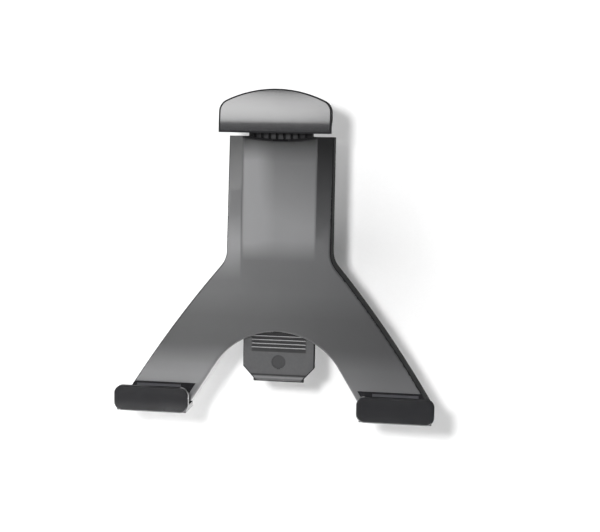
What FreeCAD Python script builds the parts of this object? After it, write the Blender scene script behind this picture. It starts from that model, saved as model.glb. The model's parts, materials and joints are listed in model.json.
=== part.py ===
"""Tablet holder that clamps on one headrest post.

The front faces -Y and +Z is up. The origin is the middle of the clamp's bore, on the post's axis.
A distance called forward is measured from that axis towards the front, so it is -Y.
"""
import FreeCAD, Part
import math
import os
import Sketcher

doc = FreeCAD.newDocument("headrest_tablet_holder")
sheet = doc.addObject("Spreadsheet::Sheet", "Sheet")
nodes = []


class Size:
    """A size that carries its number and the expression that gives it from the sheet."""

    def __init__(self, number, text):
        self.number = float(number)
        self.text = text

    def __add__(self, other):
        other = as_size(other)
        return Size(self.number + other.number, "({} + {})".format(self.text, other.text))

    def __radd__(self, other):
        return as_size(other) + self

    def __sub__(self, other):
        other = as_size(other)
        return Size(self.number - other.number, "({} - {})".format(self.text, other.text))

    def __rsub__(self, other):
        return as_size(other) - self

    def __mul__(self, other):
        other = as_size(other)
        return Size(self.number * other.number, "({} * {})".format(self.text, other.text))

    def __rmul__(self, other):
        return as_size(other) * self

    def __truediv__(self, other):
        other = as_size(other)
        return Size(self.number / other.number, "({} / {})".format(self.text, other.text))

    def __rtruediv__(self, other):
        return as_size(other) / self

    def __neg__(self):
        return Size(-self.number, "(-{})".format(self.text))


def as_size(value):
    return value if isinstance(value, Size) else Size(value, repr(value))


def sine(angle):
    return Size(math.sin(math.radians(angle.number)), "sin({} * 1deg)".format(angle.text))


def cosine(angle):
    return Size(math.cos(math.radians(angle.number)), "cos({} * 1deg)".format(angle.text))


def tangent(angle):
    return Size(math.tan(math.radians(angle.number)), "tan({} * 1deg)".format(angle.text))


def root(value):
    return Size(math.sqrt(value.number), "sqrt({})".format(value.text))


def size(alias, value, meaning):
    """Writes one driving size in the sheet and returns it."""
    row = size.rows = size.rows + 1
    sheet.set("A{}".format(row), meaning)
    sheet.set("B{}".format(row), str(value))
    sheet.setAlias("B{}".format(row), alias)
    return Size(value, "Sheet.{}".format(alias))


def worked_out(alias, value, meaning):
    """Writes a size that follows from others in the sheet and returns it."""
    row = size.rows = size.rows + 1
    sheet.set("A{}".format(row), meaning)
    sheet.set("B{}".format(row), "=" + value.text.replace("Sheet.", ""))
    sheet.setAlias("B{}".format(row), alias)
    return Size(value.number, "Sheet.{}".format(alias))


size.rows = 0

# Clamp on the headrest post
post_radius = size("post_radius", 6.5, "radius of the headrest post")
clamp_height = size("clamp_height", 26.0, "height of the clamp along the post")
liner_thickness = size("liner_thickness", 2.0, "rubber between the post and the clamp")
liner_wing = size("liner_wing", 4.5, "how far a liner comes up beside the post")
liner_width = size("liner_width", 17.0, "width of both liners across the post")
clamp_wall = size("clamp_wall", 5.0, "thickness of the clamp's front arm")
web_gap = size("web_gap", 4.5, "space between the post and the clamp's side web")
web_thickness = size("web_thickness", 6.0, "thickness of the clamp's side web")
front_arm_reach = size("front_arm_reach", 13.0, "front arm past the post's axis")
back_arm_reach = size("back_arm_reach", 9.5, "back arm past the post's axis")
back_arm_thickness = size("back_arm_thickness", 8.0, "thickness of the clamp's back arm")
clamp_corner = size("clamp_corner", 3.0, "rounding of the clamp's outer corners")
jaw_plate_thickness = size("jaw_plate_thickness", 5.0, "plate of the pressure jaw")
jaw_plate_width = size("jaw_plate_width", 18.0, "width of the pressure jaw")
jaw_boss_radius = size("jaw_boss_radius", 6.5, "boss of the pressure jaw")
jaw_boss_length = size("jaw_boss_length", 4.0, "length of that boss")
jaw_travel_out = size("jaw_travel_out", 7.0, "opening travel of the pressure jaw")
jaw_travel_in = size("jaw_travel_in", 3.0, "closing travel on a thinner post")
guide_width = size("guide_width", 6.0, "tongue that guides the pressure jaw in the web")
guide_depth = size("guide_depth", 2.0, "depth of the web's slot for that tongue")
screw_radius = size("screw_radius", 4.0, "clamp screw")
screw_nose_radius = size("screw_nose_radius", 3.0, "turned nose of the clamp screw")
screw_nose_length = size("screw_nose_length", 4.5, "length of that nose")
insert_wall = size("insert_wall", 1.6, "wall of the threaded insert")
knob_radius = size("knob_radius", 12.0, "clamp knob")
knob_thickness = size("knob_thickness", 11.0, "length of the clamp knob")
knob_scallop = size("knob_scallop", 4.0, "radius of a finger scallop in the clamp knob")
knob_scallop_rise = size("knob_scallop_rise", 1.6, "centre of a scallop outside the knob's edge")
knob_bore_depth = size("knob_bore_depth", 8.25, "how far the screw goes into the clamp knob")
knob_lobes = size("knob_lobes", 6, "lobes of the clamp knob")

# Running gaps
running_gap = size("running_gap", 0.05, "radial clearance of a shaft in its hole")
side_gap = size("side_gap", 0.2, "clearance beside a moving piece")
slide_gap = size("slide_gap", 0.3, "clearance over a sliding face")

# Tilt joint
tilt_setback = size("tilt_setback", 12.0, "tilt axis in front of the clamp")
tongue_thickness = size("tongue_thickness", 10.0, "tongue of the swivel plate")
ear_thickness = size("ear_thickness", 5.0, "each ear of the clamp's yoke")
ear_radius = size("ear_radius", 9.0, "round end of ears and tongue")
tilt_bolt_radius = size("tilt_bolt_radius", 3.0, "tilt bolt")
tilt_head_radius = size("tilt_head_radius", 5.6, "hexagon head of the tilt bolt, over its corners")
tilt_head_height = size("tilt_head_height", 3.0, "height of that head")
tilt_knob_radius = size("tilt_knob_radius", 8.5, "tilt knob")
tilt_knob_thickness = size("tilt_knob_thickness", 8.5, "length of the tilt knob")
tilt_knob_scallop = size("tilt_knob_scallop", 1.6, "radius of a groove in the tilt knob")
tilt_knob_grooves = size("tilt_knob_grooves", 10, "grooves round the tilt knob")
tilt_nut_radius = size("tilt_nut_radius", 5.2, "hexagon nut in the tilt knob, over its corners")
tilt_nut_height = size("tilt_nut_height", 4.0, "height of that nut")

# Swivel joint
disc_setback = size("disc_setback", 10.5, "back of the swivel disc in front of the tilt axis")
disc_thickness = size("disc_thickness", 3.3, "swivel disc")
disc_radius = size("disc_radius", 21.0, "swivel disc")
washer_thickness = size("washer_thickness", 0.9, "friction washer")
washer_gap = size("washer_gap", 0.1, "clearance of the friction washer")
hub_radius = size("hub_radius", 8.0, "hub of the swivel plate")
washer_radius = size("washer_radius", 18.5, "outer radius of the friction washer")
retainer_radius = size("retainer_radius", 11.5, "retaining disc")
retainer_thickness = size("retainer_thickness", 1.2, "retaining disc")
swivel_screw_radius = size("swivel_screw_radius", 1.9, "screw of the swivel")
swivel_screw_length = size("swivel_screw_length", 9.0, "length of that screw under its head")
swivel_head_radius = size("swivel_head_radius", 3.8, "head of that screw")
swivel_head_height = size("swivel_head_height", 1.4, "height of that head")

# Cradle shell
cover_thickness = size("cover_thickness", 2.2, "rear cover")
cover_gap = size("cover_gap", 0.15, "gap round the rear cover")
works_depth = size("works_depth", 4.7, "room for the ratchet behind the slide")
slide_thickness = size("slide_thickness", 4.1, "jaw slide")
face_wall = size("face_wall", 2.4, "front wall of the shell")
shell_wall = size("shell_wall", 2.2, "side walls of the shell")
trunk_width = size("trunk_width", 51.0, "trunk between its side faces")
trunk_top = size("trunk_top", 62.0, "top of the trunk above the swivel axis")
panel_width = size("panel_width", 36.0, "raised panel between the shoulders")
shoulder_drop = size("shoulder_drop", 5.0, "how far the shoulders fall back at the top")
shoulder_foot = size("shoulder_foot", 10.0, "height where the shoulders have faded out")
scoop_depth = size("scoop_depth", 1.8, "dip in the top edge of the raised panel")
flare_level = size("flare_level", 6.57, "height where the arms begin to leave the trunk")
flare_radius = size("flare_radius", 12.0, "rounding between the trunk and an arm")
arm_bow_radius = size("arm_bow_radius", 530.0, "large curve of an arm's outer edge")
foot_inset = size("foot_inset", 1.5, "outer side of an arm's foot inside the end of its hook")
foot_side = size("foot_side", 4.31, "upright outer side of an arm's foot")
foot_drop = size("foot_drop", 72.0, "foot of the arms below the swivel axis")
arch_drop = size("arch_drop", 33.0, "top of the arch below the swivel axis")
arch_radius = size("arch_radius", 36.0, "round part of the arch")
arch_angle = size("arch_angle", 58.0, "half angle of the round part of the arch")
bow_depth = size("bow_depth", 3.5, "how far the arms come forward at the foot")
bow_start = size("bow_start", 5.0, "depth below the swivel axis where the bow starts")
edge_round = size("edge_round", 1.2, "rounding of the shell's front edges")
boss_radius = size("boss_radius", 3.1, "screw bosses in the shell")
cover_screw_radius = size("cover_screw_radius", 1.2, "cover screws")
cover_screw_length = size("cover_screw_length", 8.0, "cover screws under the head")
cover_head_radius = size("cover_head_radius", 2.6, "heads of the cover screws")
cover_head_height = size("cover_head_height", 1.2, "height of those heads")
trunk_boss_x = size("trunk_boss_x", 20.2, "upper bosses from the middle")
trunk_boss_drop = size("trunk_boss_drop", 8.0, "upper bosses below the top of the trunk")
waist_boss_x = size("waist_boss_x", 25.0, "middle bosses from the middle")
waist_boss_drop = size("waist_boss_drop", 14.0, "middle bosses below the swivel axis")
arm_boss_x = size("arm_boss_x", 46.5, "lower bosses from the middle")
arm_boss_drop = size("arm_boss_drop", 50.0, "lower bosses below the swivel axis")

# Upper jaw and its slide
slide_width = size("slide_width", 31.0, "jaw slide")
slide_foot = size("slide_foot", 25.0, "foot of the closed slide below the swivel axis")
slide_reach = size("slide_reach", 12.5, "how far the slide goes up into the upper jaw")
slide_travel = size("slide_travel", 60.0, "travel of the upper jaw")
stop_width = size("stop_width", 34.2, "stop across the foot of the slide")
stop_height = size("stop_height", 3.0, "height of that stop")
groove_count = size("groove_count", 8, "grooves along the front of the slide")
groove_pitch = size("groove_pitch", 3.57, "from groove to groove")
groove_width = size("groove_width", 1.3, "width of a groove")
groove_depth = size("groove_depth", 0.8, "depth of a groove")
rack_pitch = size("rack_pitch", 2.5, "from notch to notch")
rack_width = size("rack_width", 12.0, "width of the notches")
head_gap = size("head_gap", 1.5, "gap between the trunk and the closed jaw")
head_width = size("head_width", 52.6, "upper jaw")
head_height = size("head_height", 20.4, "height of the upper jaw")
head_top_radius = size("head_top_radius", 52.0, "large curve over the upper jaw")
head_corner = size("head_corner", 6.0, "rounding of the jaw's upper corners")
head_back_wall = size("head_back_wall", 1.5, "wall of the upper jaw behind the slide")
head_reach = size("head_reach", 17.0, "lip of the upper jaw in front of the plate")
head_lip_height = size("head_lip_height", 4.0, "front band of the upper jaw")
head_lip_thickness = size("head_lip_thickness", 2.6, "lip of the upper jaw")
head_crest = size("head_crest", 13.5, "where the sloping face ends, in front of the plate")
head_face_depth = size("head_face_depth", 6.0, "depth of the upper jaw's front, from its lip")
head_bridge_width = size("head_bridge_width", 45.0, "neck between that front and the slide")
head_bridge_drop = size("head_bridge_drop", 3.0, "top of the neck below the top of the jaw")
head_sweep = size("head_sweep", 60.0, "radius of the sloping face, which bulges")
head_ceiling = size("head_ceiling", 5.5, "channel of the upper jaw above its lower edge")
head_slant = size("head_slant", 2.6, "slanted corner of that channel")
head_screw_x = size("head_screw_x", 8.0, "jaw screws from the middle")
head_screw_level = size("head_screw_level", 9.0, "jaw screws above the lower edge of the jaw")
head_screw_length = size("head_screw_length", 4.6, "jaw screws under the head")

# Lower hooks
hook_inner = size("hook_inner", 40.7, "inner side of a hook's lip")
hook_outer = size("hook_outer", 77.4, "outer side of a hook's lip")
hook_height = size("hook_height", 12.6, "height of a hook's lip")
hook_corner = size("hook_corner", 4.0, "rounding of a lip's corners")
hook_reach = size("hook_reach", 16.0, "front of a lip in front of the plate")
hook_lip_thickness = size("hook_lip_thickness", 2.8, "lip of a hook")
hook_shelf = size("hook_shelf", 2.5, "shelf of a hook")
hook_shelf_inset = size("hook_shelf_inset", 1.2, "ends of the shelf inside those of the lip")
hook_lift = size("hook_lift", 0.2, "underside of the shelf above the foot of the arms")
hook_back = size("hook_back", 1.8, "back wall of a hook")
hook_back_drop = size("hook_back_drop", 0.6, "top of the back wall below that of the lip")
hook_rim = size("hook_rim", 2.7, "rim of the arm between the arch and the back wall's recess")
pad_thickness = size("pad_thickness", 1.0, "rubber liners of the jaws")
pad_margin = size("pad_margin", 1.5, "rim left round a liner")
hook_screw_inner_part = size("hook_screw_inner_part", 0.226, "inner hook screw along a lip, as a part of its length")
hook_screw_outer_part = size("hook_screw_outer_part", 0.608, "outer hook screw along a lip, as a part of its length")
hook_screw_drop = size("hook_screw_drop", 65.5, "hook screws below the swivel axis")
hook_boss_radius = size("hook_boss_radius", 2.6, "boss behind a hook's back wall")
hook_boss_length = size("hook_boss_length", 2.1, "length of that boss")
hook_head_radius = size("hook_head_radius", 3.7, "heads of the hook screws")
hook_head_height = size("hook_head_height", 1.6, "height of those heads")
hook_screw_length = size("hook_screw_length", 3.6, "hook screws under the head")

# Release key and ratchet
key_width = size("key_width", 35.6, "release key")
key_thickness = size("key_thickness", 3.0, "plate of the release key")
key_setback = size("key_setback", 6.0, "front of the key behind the plate's front")
key_top = size("key_top", 30.0, "upper edge of the key's plate below the swivel axis")
key_shoulder = size("key_shoulder", 51.6, "start of the key's chamfers below the swivel axis")
key_foot = size("key_foot", 57.4, "lower edge of the key below the swivel axis")
key_foot_width = size("key_foot_width", 25.0, "key between its chamfers at the lower edge")
key_roll = size("key_roll", 1.7, "radius of the rolled lower edge")
key_travel = size("key_travel", 4.0, "how far the key is pushed up")
rib_count = size("rib_count", 4, "grip ribs on the key")
rib_pitch = size("rib_pitch", 1.9, "from rib to rib")
rib_width = size("rib_width", 27.0, "length of a grip rib")
rib_height = size("rib_height", 0.7, "how far a grip rib stands out")
rib_thickness = size("rib_thickness", 1.0, "thickness of a grip rib")
rib_level = size("rib_level", 36.0, "upper grip rib below the swivel axis")
dimple_radius = size("dimple_radius", 3.5, "round dimple in the key")
dimple_depth = size("dimple_depth", 0.5, "depth of that dimple")
dimple_level = size("dimple_level", 49.0, "dimple below the swivel axis")
link_width = size("link_width", 3.6, "each side link of the key")
link_thickness = size("link_thickness", 2.5, "side links of the key")
link_inner = size("link_inner", 13.2, "inner side of a link from the middle")
link_gap = size("link_gap", 0.8, "links in front of the cover")
tooth_level = size("tooth_level", 38.7, "locking face of the pawl's tooth")
pawl_width = size("pawl_width", 10.0, "pawl")
pawl_reach = size("pawl_reach", 13.3, "pawl's axis above its tooth")
pawl_boss = size("pawl_boss", 1.9, "boss of the pawl")
pawl_thickness = size("pawl_thickness", 1.8, "arm of the pawl")
pawl_pin_radius = size("pawl_pin_radius", 1.0, "pin of the pawl")
tooth_depth = size("tooth_depth", 1.5, "tooth of the pawl")
tooth_rise = size("tooth_rise", 1.7, "height of the tooth at its root")
tooth_rake = size("tooth_rake", 0.4, "slope of the tooth's locking face")
tooth_tip = size("tooth_tip", 0.3, "flat at the tooth's tip")
pawl_tail = size("pawl_tail", 2.5, "pawl below its tooth")
pawl_ear = size("pawl_ear", 2.5, "each ear that carries the pawl's pin")
wedge_thickness = size("wedge_thickness", 1.3, "wedge on the key")
wedge_width = size("wedge_width", 9.0, "width of that wedge")
wedge_gap = size("wedge_gap", 1.8, "wedge below the pawl at rest")
bridge_height = size("bridge_height", 3.6, "bridge between the key's links")
leaf_thickness = size("leaf_thickness", 0.35, "pawl spring")
leaf_width = size("leaf_width", 5.0, "width of the pawl spring")
spring_radius = size("spring_radius", 1.6, "mean radius of the key spring")
spring_wire = size("spring_wire", 0.25, "wire radius of the key spring")
spring_length = size("spring_length", 15.6, "length of the key spring at rest")
spring_turns = size("spring_turns", 5, "turns of the key spring")
spring_stop = size("spring_stop", 1.8, "rib that holds the key spring")

# Where things lie, worked out from the sizes above
clamp_face = post_radius + liner_thickness + clamp_wall
tilt_forward = clamp_face + tilt_setback
disc_back = tilt_forward + disc_setback
disc_front = disc_back + disc_thickness
cover_back = disc_front + washer_thickness + washer_gap
cover_front = cover_back + cover_thickness
slide_back = cover_front + works_depth
slide_front = slide_back + slide_thickness
cavity_front = slide_front + slide_gap
plate_front = cavity_front + face_wall
foot_front = plate_front + bow_depth
hub_end = cover_front + slide_gap
head_base = trunk_top + head_gap
head_apex = head_base + head_height
head_screw_z = head_base + head_screw_level
slide_top = head_base + slide_reach
clamp_seat = post_radius + liner_thickness
web_inner = post_radius + web_gap
web_outer = web_inner + web_thickness
jaw_back = clamp_seat + jaw_plate_thickness + jaw_boss_length
arm_inner = jaw_back + jaw_travel_out + slide_gap
arm_outer = arm_inner + back_arm_thickness
knob_start = arm_outer + jaw_travel_in + slide_gap
ear_outer = tongue_thickness / 2 + side_gap + ear_thickness
foot = -foot_drop
foot_half = hook_outer - foot_inset
hook_screw_inner = hook_inner + (hook_outer - hook_inner) * hook_screw_inner_part
hook_screw_outer = hook_inner + (hook_outer - hook_inner) * hook_screw_outer_part

# The arm's bowed edge touches the flare and ends at the top of the foot's upright side
flare_centre = trunk_width / 2 + flare_radius
reach = worked_out("arm_reach", foot_half - flare_centre, "from the flare's centre out to the foot")
fall = worked_out("arm_fall", flare_level - foot - foot_side, "from the flare's centre down to the foot's side")
span = worked_out("arm_span", root(reach * reach + fall * fall), "straight from one to the other")
both_radii = flare_radius + arm_bow_radius
along = worked_out("bow_along", (both_radii * both_radii - arm_bow_radius * arm_bow_radius + span * span) / (2 * span),
                   "bow's centre along that line")
aside = worked_out("bow_aside", root(both_radii * both_radii - along * along), "bow's centre away from it")
bow_run = worked_out("bow_run", (aside * fall - along * reach) / span, "bow's centre inside the flare's")
bow_drop = worked_out("bow_drop", (aside * reach + along * fall) / span, "bow's centre below the flare's")
bow_centre_x = flare_centre - bow_run
bow_centre_z = flare_level - bow_drop
arm_level_part = bow_run / both_radii
arm_upright_part = bow_drop / both_radii
flare_end_x = flare_centre - flare_radius * arm_level_part
flare_end_z = flare_level - flare_radius * arm_upright_part
nothing = Size(0, "0")
beyond = 2.0


class Bend:
    """An arc between two corners: its radius, and 1 if it turns left or -1 if it turns right."""

    def __init__(self, radius, turn):
        self.radius = as_size(radius)
        self.turn = turn


def vector(corner):
    return FreeCAD.Vector(as_size(corner[0]).number, as_size(corner[1]).number, 0)


def arc_between(start, finish, bend):
    """Returns the arc and which of its ends lie at start and finish."""
    chord = finish - start
    middle = (start + finish) * 0.5
    radius = bend.radius.number
    rise = math.sqrt(max(radius ** 2 - (chord.Length / 2) ** 2, 0))
    centre = middle + FreeCAD.Vector(-chord.y, chord.x, 0) * (bend.turn * rise / chord.Length)
    circle = Part.Circle(centre, FreeCAD.Vector(0, 0, 1), radius)
    angles = [math.atan2(point.y - centre.y, point.x - centre.x) for point in (start, finish)]
    if bend.turn > 0:
        return Part.ArcOfCircle(circle, angles[0], angles[1]), (1, 2)
    return Part.ArcOfCircle(circle, angles[1], angles[0]), (2, 1)


def hold(sketch, geometry, point, corner):
    """Ties one point of a sketch to its two distances from the sketch's origin."""
    for kind, axis, value in (("DistanceX", -2, corner[0]), ("DistanceY", -1, corner[1])):
        value = as_size(value)
        if value.text == "0":
            sketch.addConstraint(Sketcher.Constraint("PointOnObject", geometry, point, axis))
        else:
            row = sketch.addConstraint(Sketcher.Constraint(kind, -1, 1, geometry, point, value.number))
            sketch.setExpression("Constraints[{}]".format(row), value.text)


def draw(sketch, corners):
    """Draws a closed outline. A corner that carries a bend leaves along an arc."""
    first = sketch.GeometryCount
    ends = []
    for index, corner in enumerate(corners):
        start = vector(corner)
        finish = vector(corners[(index + 1) % len(corners)])
        if len(corner) == 3:
            arc, order = arc_between(start, finish, corner[2])
            added = sketch.addGeometry(arc, False)
            row = sketch.addConstraint(Sketcher.Constraint("Radius", added, corner[2].radius.number))
            sketch.setExpression("Constraints[{}]".format(row), corner[2].radius.text)
            ends.append(order)
        else:
            sketch.addGeometry(Part.LineSegment(start, finish), False)
            ends.append((1, 2))
    for index in range(len(corners)):
        after = (index + 1) % len(corners)
        sketch.addConstraint(
            Sketcher.Constraint("Coincident", first + index, ends[index][1], first + after, ends[after][0])
        )
    for index, corner in enumerate(corners):
        hold(sketch, first + index, ends[index][0], corner)


def ring(sketch, centre, radius):
    """Draws a circle."""
    radius = as_size(radius)
    circle = Part.Circle(vector(centre), FreeCAD.Vector(0, 0, 1), radius.number)
    added = sketch.addGeometry(circle, False)
    hold(sketch, added, 3, centre)
    row = sketch.addConstraint(Sketcher.Constraint("Radius", added, radius.number))
    sketch.setExpression("Constraints[{}]".format(row), radius.text)


def box(low, high):
    """Corners of a rectangle between two opposite ones."""
    return [(low[0], low[1]), (high[0], low[1]), (high[0], high[1]), (low[0], high[1])]


def hexagon(radius):
    """Corners of a hexagon round the origin."""
    corners = 6
    turns = [as_size(360 * step / corners) for step in range(corners)]
    return [(radius * cosine(turn), radius * sine(turn)) for turn in turns]


def side(corners):
    """Turns corners given as forward and height into those of a sketch seen from the +X side."""
    turned = []
    for corner in corners:
        place = (-as_size(corner[0]), corner[1])
        if len(corner) == 3:
            place += (Bend(corner[2].radius, -corner[2].turn),)
        turned.append(place)
    return turned


def new_body(label):
    body = doc.addObject("PartDesign::Body", label)
    body.Label = label
    return body


def plane(body, role):
    return [feature for feature in body.Origin.OriginFeatures if feature.Role == role][0]


def new_sketch(body, name, role, offset):
    """Starts a sketch parallel to an origin plane, moved along that plane's normal."""
    sketch = body.newObject("Sketcher::SketchObject", name)
    sketch.AttachmentSupport = (plane(body, role), [""])
    sketch.MapMode = "FlatFace"
    sketch.setExpression("AttachmentOffset.Base.z", as_size(offset).text)
    return sketch


def front_sketch(body, name, forward):
    return new_sketch(body, name, "XZ_Plane", forward)


def side_sketch(body, name, x=nothing):
    return new_sketch(body, name, "YZ_Plane", x)


def top_sketch(body, name, z=nothing):
    return new_sketch(body, name, "XY_Plane", z)


def extrude(body, kind, name, sketch, length, middle=False, turned=False):
    feature = body.newObject(kind, name)
    feature.Profile = sketch
    feature.setExpression("Length", as_size(length).text)
    feature.SideType = "Symmetric" if middle else "One side"
    feature.Reversed = turned
    sketch.Visibility = False
    return feature


def pad(body, name, sketch, length, middle=False, turned=False):
    return extrude(body, "PartDesign::Pad", name, sketch, length, middle, turned)


def pocket(body, name, sketch, length, middle=False, turned=False):
    """Cuts against the sketch's normal: backwards from a front sketch. Turned cuts along it."""
    return extrude(body, "PartDesign::Pocket", name, sketch, length, middle, turned)


def dress_edges(body, kind, name, width, wanted):
    """Rounds or chamfers the edges of the body so far that wanted picks."""
    doc.recompute()
    base = body.Tip
    picked = []
    for number, edge in enumerate(base.Shape.Edges, 1):
        if wanted(edge):
            picked.append("Edge{}".format(number))
    if not picked:
        raise ValueError("{} finds no edge".format(name))
    feature = body.newObject(kind, name)
    feature.Base = (base, picked)
    feature.setExpression("Radius" if kind.endswith("Fillet") else "Size", as_size(width).text)
    return feature


def round_edges(body, name, radius, wanted):
    return dress_edges(body, "PartDesign::Fillet", name, radius, wanted)


def break_edges(body, name, width, wanted):
    return dress_edges(body, "PartDesign::Chamfer", name, width, wanted)


def repeat(body, name, original, role, pitch, count, turned=False):
    """Repeats a feature along an origin axis."""
    pattern = body.newObject("PartDesign::LinearPattern", name)
    pattern.Originals = [original]
    pattern.Direction = (plane(body, role), [""])
    pattern.Mode = "Spacing"
    pattern.Reversed = turned
    pattern.setExpression("Offset", as_size(pitch).text)
    pattern.setExpression("Occurrences", as_size(count).text)
    body.Tip = pattern
    return pattern


def repeat_round(body, name, original, role, count):
    """Repeats a feature round an origin axis."""
    pattern = body.newObject("PartDesign::PolarPattern", name)
    pattern.Originals = [original]
    pattern.Axis = (plane(body, role), [""])
    pattern.Angle = 360
    pattern.setExpression("Occurrences", as_size(count).text)
    body.Tip = pattern
    return pattern


def mirror(body, name, originals):
    """Repeats features on the other side of the middle plane."""
    feature = body.newObject("PartDesign::Mirrored", name)
    feature.Originals = originals
    feature.MirrorPlane = (plane(body, "YZ_Plane"), [""])
    body.Tip = feature
    return feature


def node(thing, label=None):
    """Counts an object as one finished piece."""
    if label:
        thing.Label = label
    nodes.append(thing)
    return thing


def near(value, target, slack=0.02):
    return abs(value - as_size(target).number) < slack


def runs_along_y(edge, x, z):
    """True for an edge along the Y axis at the given x and z."""
    ends = edge.Vertexes
    if len(ends) != 2:
        return False
    return all(near(abs(end.X), x) and near(end.Z, z) for end in ends) and not near(ends[0].Y, ends[1].Y)


def is_round(edge, radius, forward):
    """True for a circle of the given radius that faces the front at the given depth."""
    curve = edge.Curve
    return isinstance(curve, Part.Circle) and near(curve.Radius, radius) and near(-curve.Center.y, forward)


def place(thing, x=nothing, forward=nothing, z=nothing):
    """Ties an object's position to sizes."""
    for letter, value in (("x", x), ("y", -as_size(forward)), ("z", z)):
        thing.setExpression("Placement.Base.{}".format(letter), as_size(value).text)


TO_FRONT = FreeCAD.Rotation(FreeCAD.Vector(1, 0, 0), 90)
ALONG_X = FreeCAD.Rotation(FreeCAD.Vector(0, 1, 0), 90)


def rod(name, radius, length, turn, x=nothing, forward=nothing, z=nothing):
    """A plain cylinder that starts at the given place."""
    made = doc.addObject("Part::Cylinder", name)
    made.setExpression("Radius", as_size(radius).text)
    made.setExpression("Height", as_size(length).text)
    made.Placement = FreeCAD.Placement(FreeCAD.Vector(0, 0, 0), turn)
    place(made, x, forward, z)
    return made


def fuse(name, pieces):
    made = doc.addObject("Part::MultiFuse", name)
    made.Shapes = pieces
    return made


def screw(name, x, under_head, z, radius, length, head_radius, head_height, points_back=False):
    """A pan head screw with the underside of its head at under_head. It points forwards or back."""
    shank_start = under_head - length if points_back else under_head
    head_start = under_head if points_back else under_head - head_height
    shank = rod(name + "_shank", radius, length, TO_FRONT, x, shank_start, z)
    head = rod(name + "_head", head_radius, head_height, TO_FRONT, x, head_start, z)
    return fuse(name, [shank, head])


def group(label, pieces):
    made = doc.addObject("Part::Compound", label)
    made.Links = pieces
    return node(made, label)


def arm_edge(level, inset=nothing):
    """Half width of the arms' outer edge at a level, drawn in by inset."""
    radius = arm_bow_radius - inset
    rise = level - bow_centre_z
    return bow_centre_x + root(radius * radius - rise * rise)


def arm_level(half, inset=nothing):
    """Level at which the arms' outer edge is that far from the middle."""
    radius = arm_bow_radius - inset
    run = half - bow_centre_x
    return bow_centre_z + root(radius * radius - run * run)


def arch_edge(level, inset=nothing):
    """Half width of the arch's straight edge at a level, moved into the arm by inset."""
    radius = arch_radius + inset
    start = -arch_drop - arch_radius + radius * cosine(arch_angle)
    return radius * sine(arch_angle) + (start - level) / tangent(arch_angle)


def plate_outline(inset, top):
    """The inverted Y of the plate, drawn in by inset all round and ending at a top level."""
    half = trunk_width / 2 - inset
    radius = flare_radius + inset
    bow = arm_bow_radius - inset
    low = foot + inset
    outer = foot_half - inset
    side = arm_level(outer, inset)
    inner = arch_edge(low, inset)
    arch = arch_radius + inset
    arch_x = arch * sine(arch_angle)
    arch_z = -arch_drop - arch_radius + arch * cosine(arch_angle)
    flare_x = flare_end_x - inset * arm_level_part
    flare_z = flare_end_z - inset * arm_upright_part
    return [
        (half, top),
        (-half, top),
        (-half, flare_level, Bend(radius, -1)),
        (-flare_x, flare_z, Bend(bow, 1)),
        (-outer, side),
        (-outer, low),
        (-inner, low),
        (-arch_x, arch_z, Bend(arch, -1)),
        (arch_x, arch_z),
        (inner, low),
        (outer, low),
        (outer, side, Bend(bow, 1)),
        (flare_x, flare_z, Bend(radius, -1)),
        (half, flare_level),
    ]


cover_screw_places = [
    (turn * x, z)
    for x, z in (
        (trunk_boss_x, trunk_top - trunk_boss_drop),
        (waist_boss_x, -waist_boss_drop),
        (arm_boss_x, -arm_boss_drop),
    )
    for turn in (1, -1)
]
hook_screw_places = [
    (turn * x, -hook_screw_drop) for turn in (1, -1) for x in (hook_screw_inner, hook_screw_outer)
]
hook_top = foot + hook_height - hook_back_drop
shelf_top = foot + hook_lift + hook_shelf
stop_level = -slide_foot + stop_height + slide_travel + slide_gap


def is_front_rim(shape):
    """Returns a test for the outer edges of the shell's front."""
    rims = set()
    faces = {}
    for face in shape.Faces:
        for edge in face.Edges:
            faces.setdefault(edge.hashCode(), []).append((face, edge))
    deepest = (plate_front - shoulder_drop - 1).number
    lowest = arm_level(foot_half).number
    for key, found in faces.items():
        if len(found) != 2:
            continue
        edge = found[0][1]
        middle = edge.valueAt((edge.FirstParameter + edge.LastParameter) / 2)
        if -middle.y < deepest or middle.z < lowest or near(middle.z, trunk_top, 0.5):
            continue
        slopes = []
        for face, unused in found:
            u, v = face.Surface.parameter(middle)
            slopes.append(abs(face.normalAt(u, v).y))
        if min(slopes) < 0.05 and max(slopes) > 0.5:
            rims.add(key)
    return lambda edge: edge.hashCode() in rims


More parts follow.
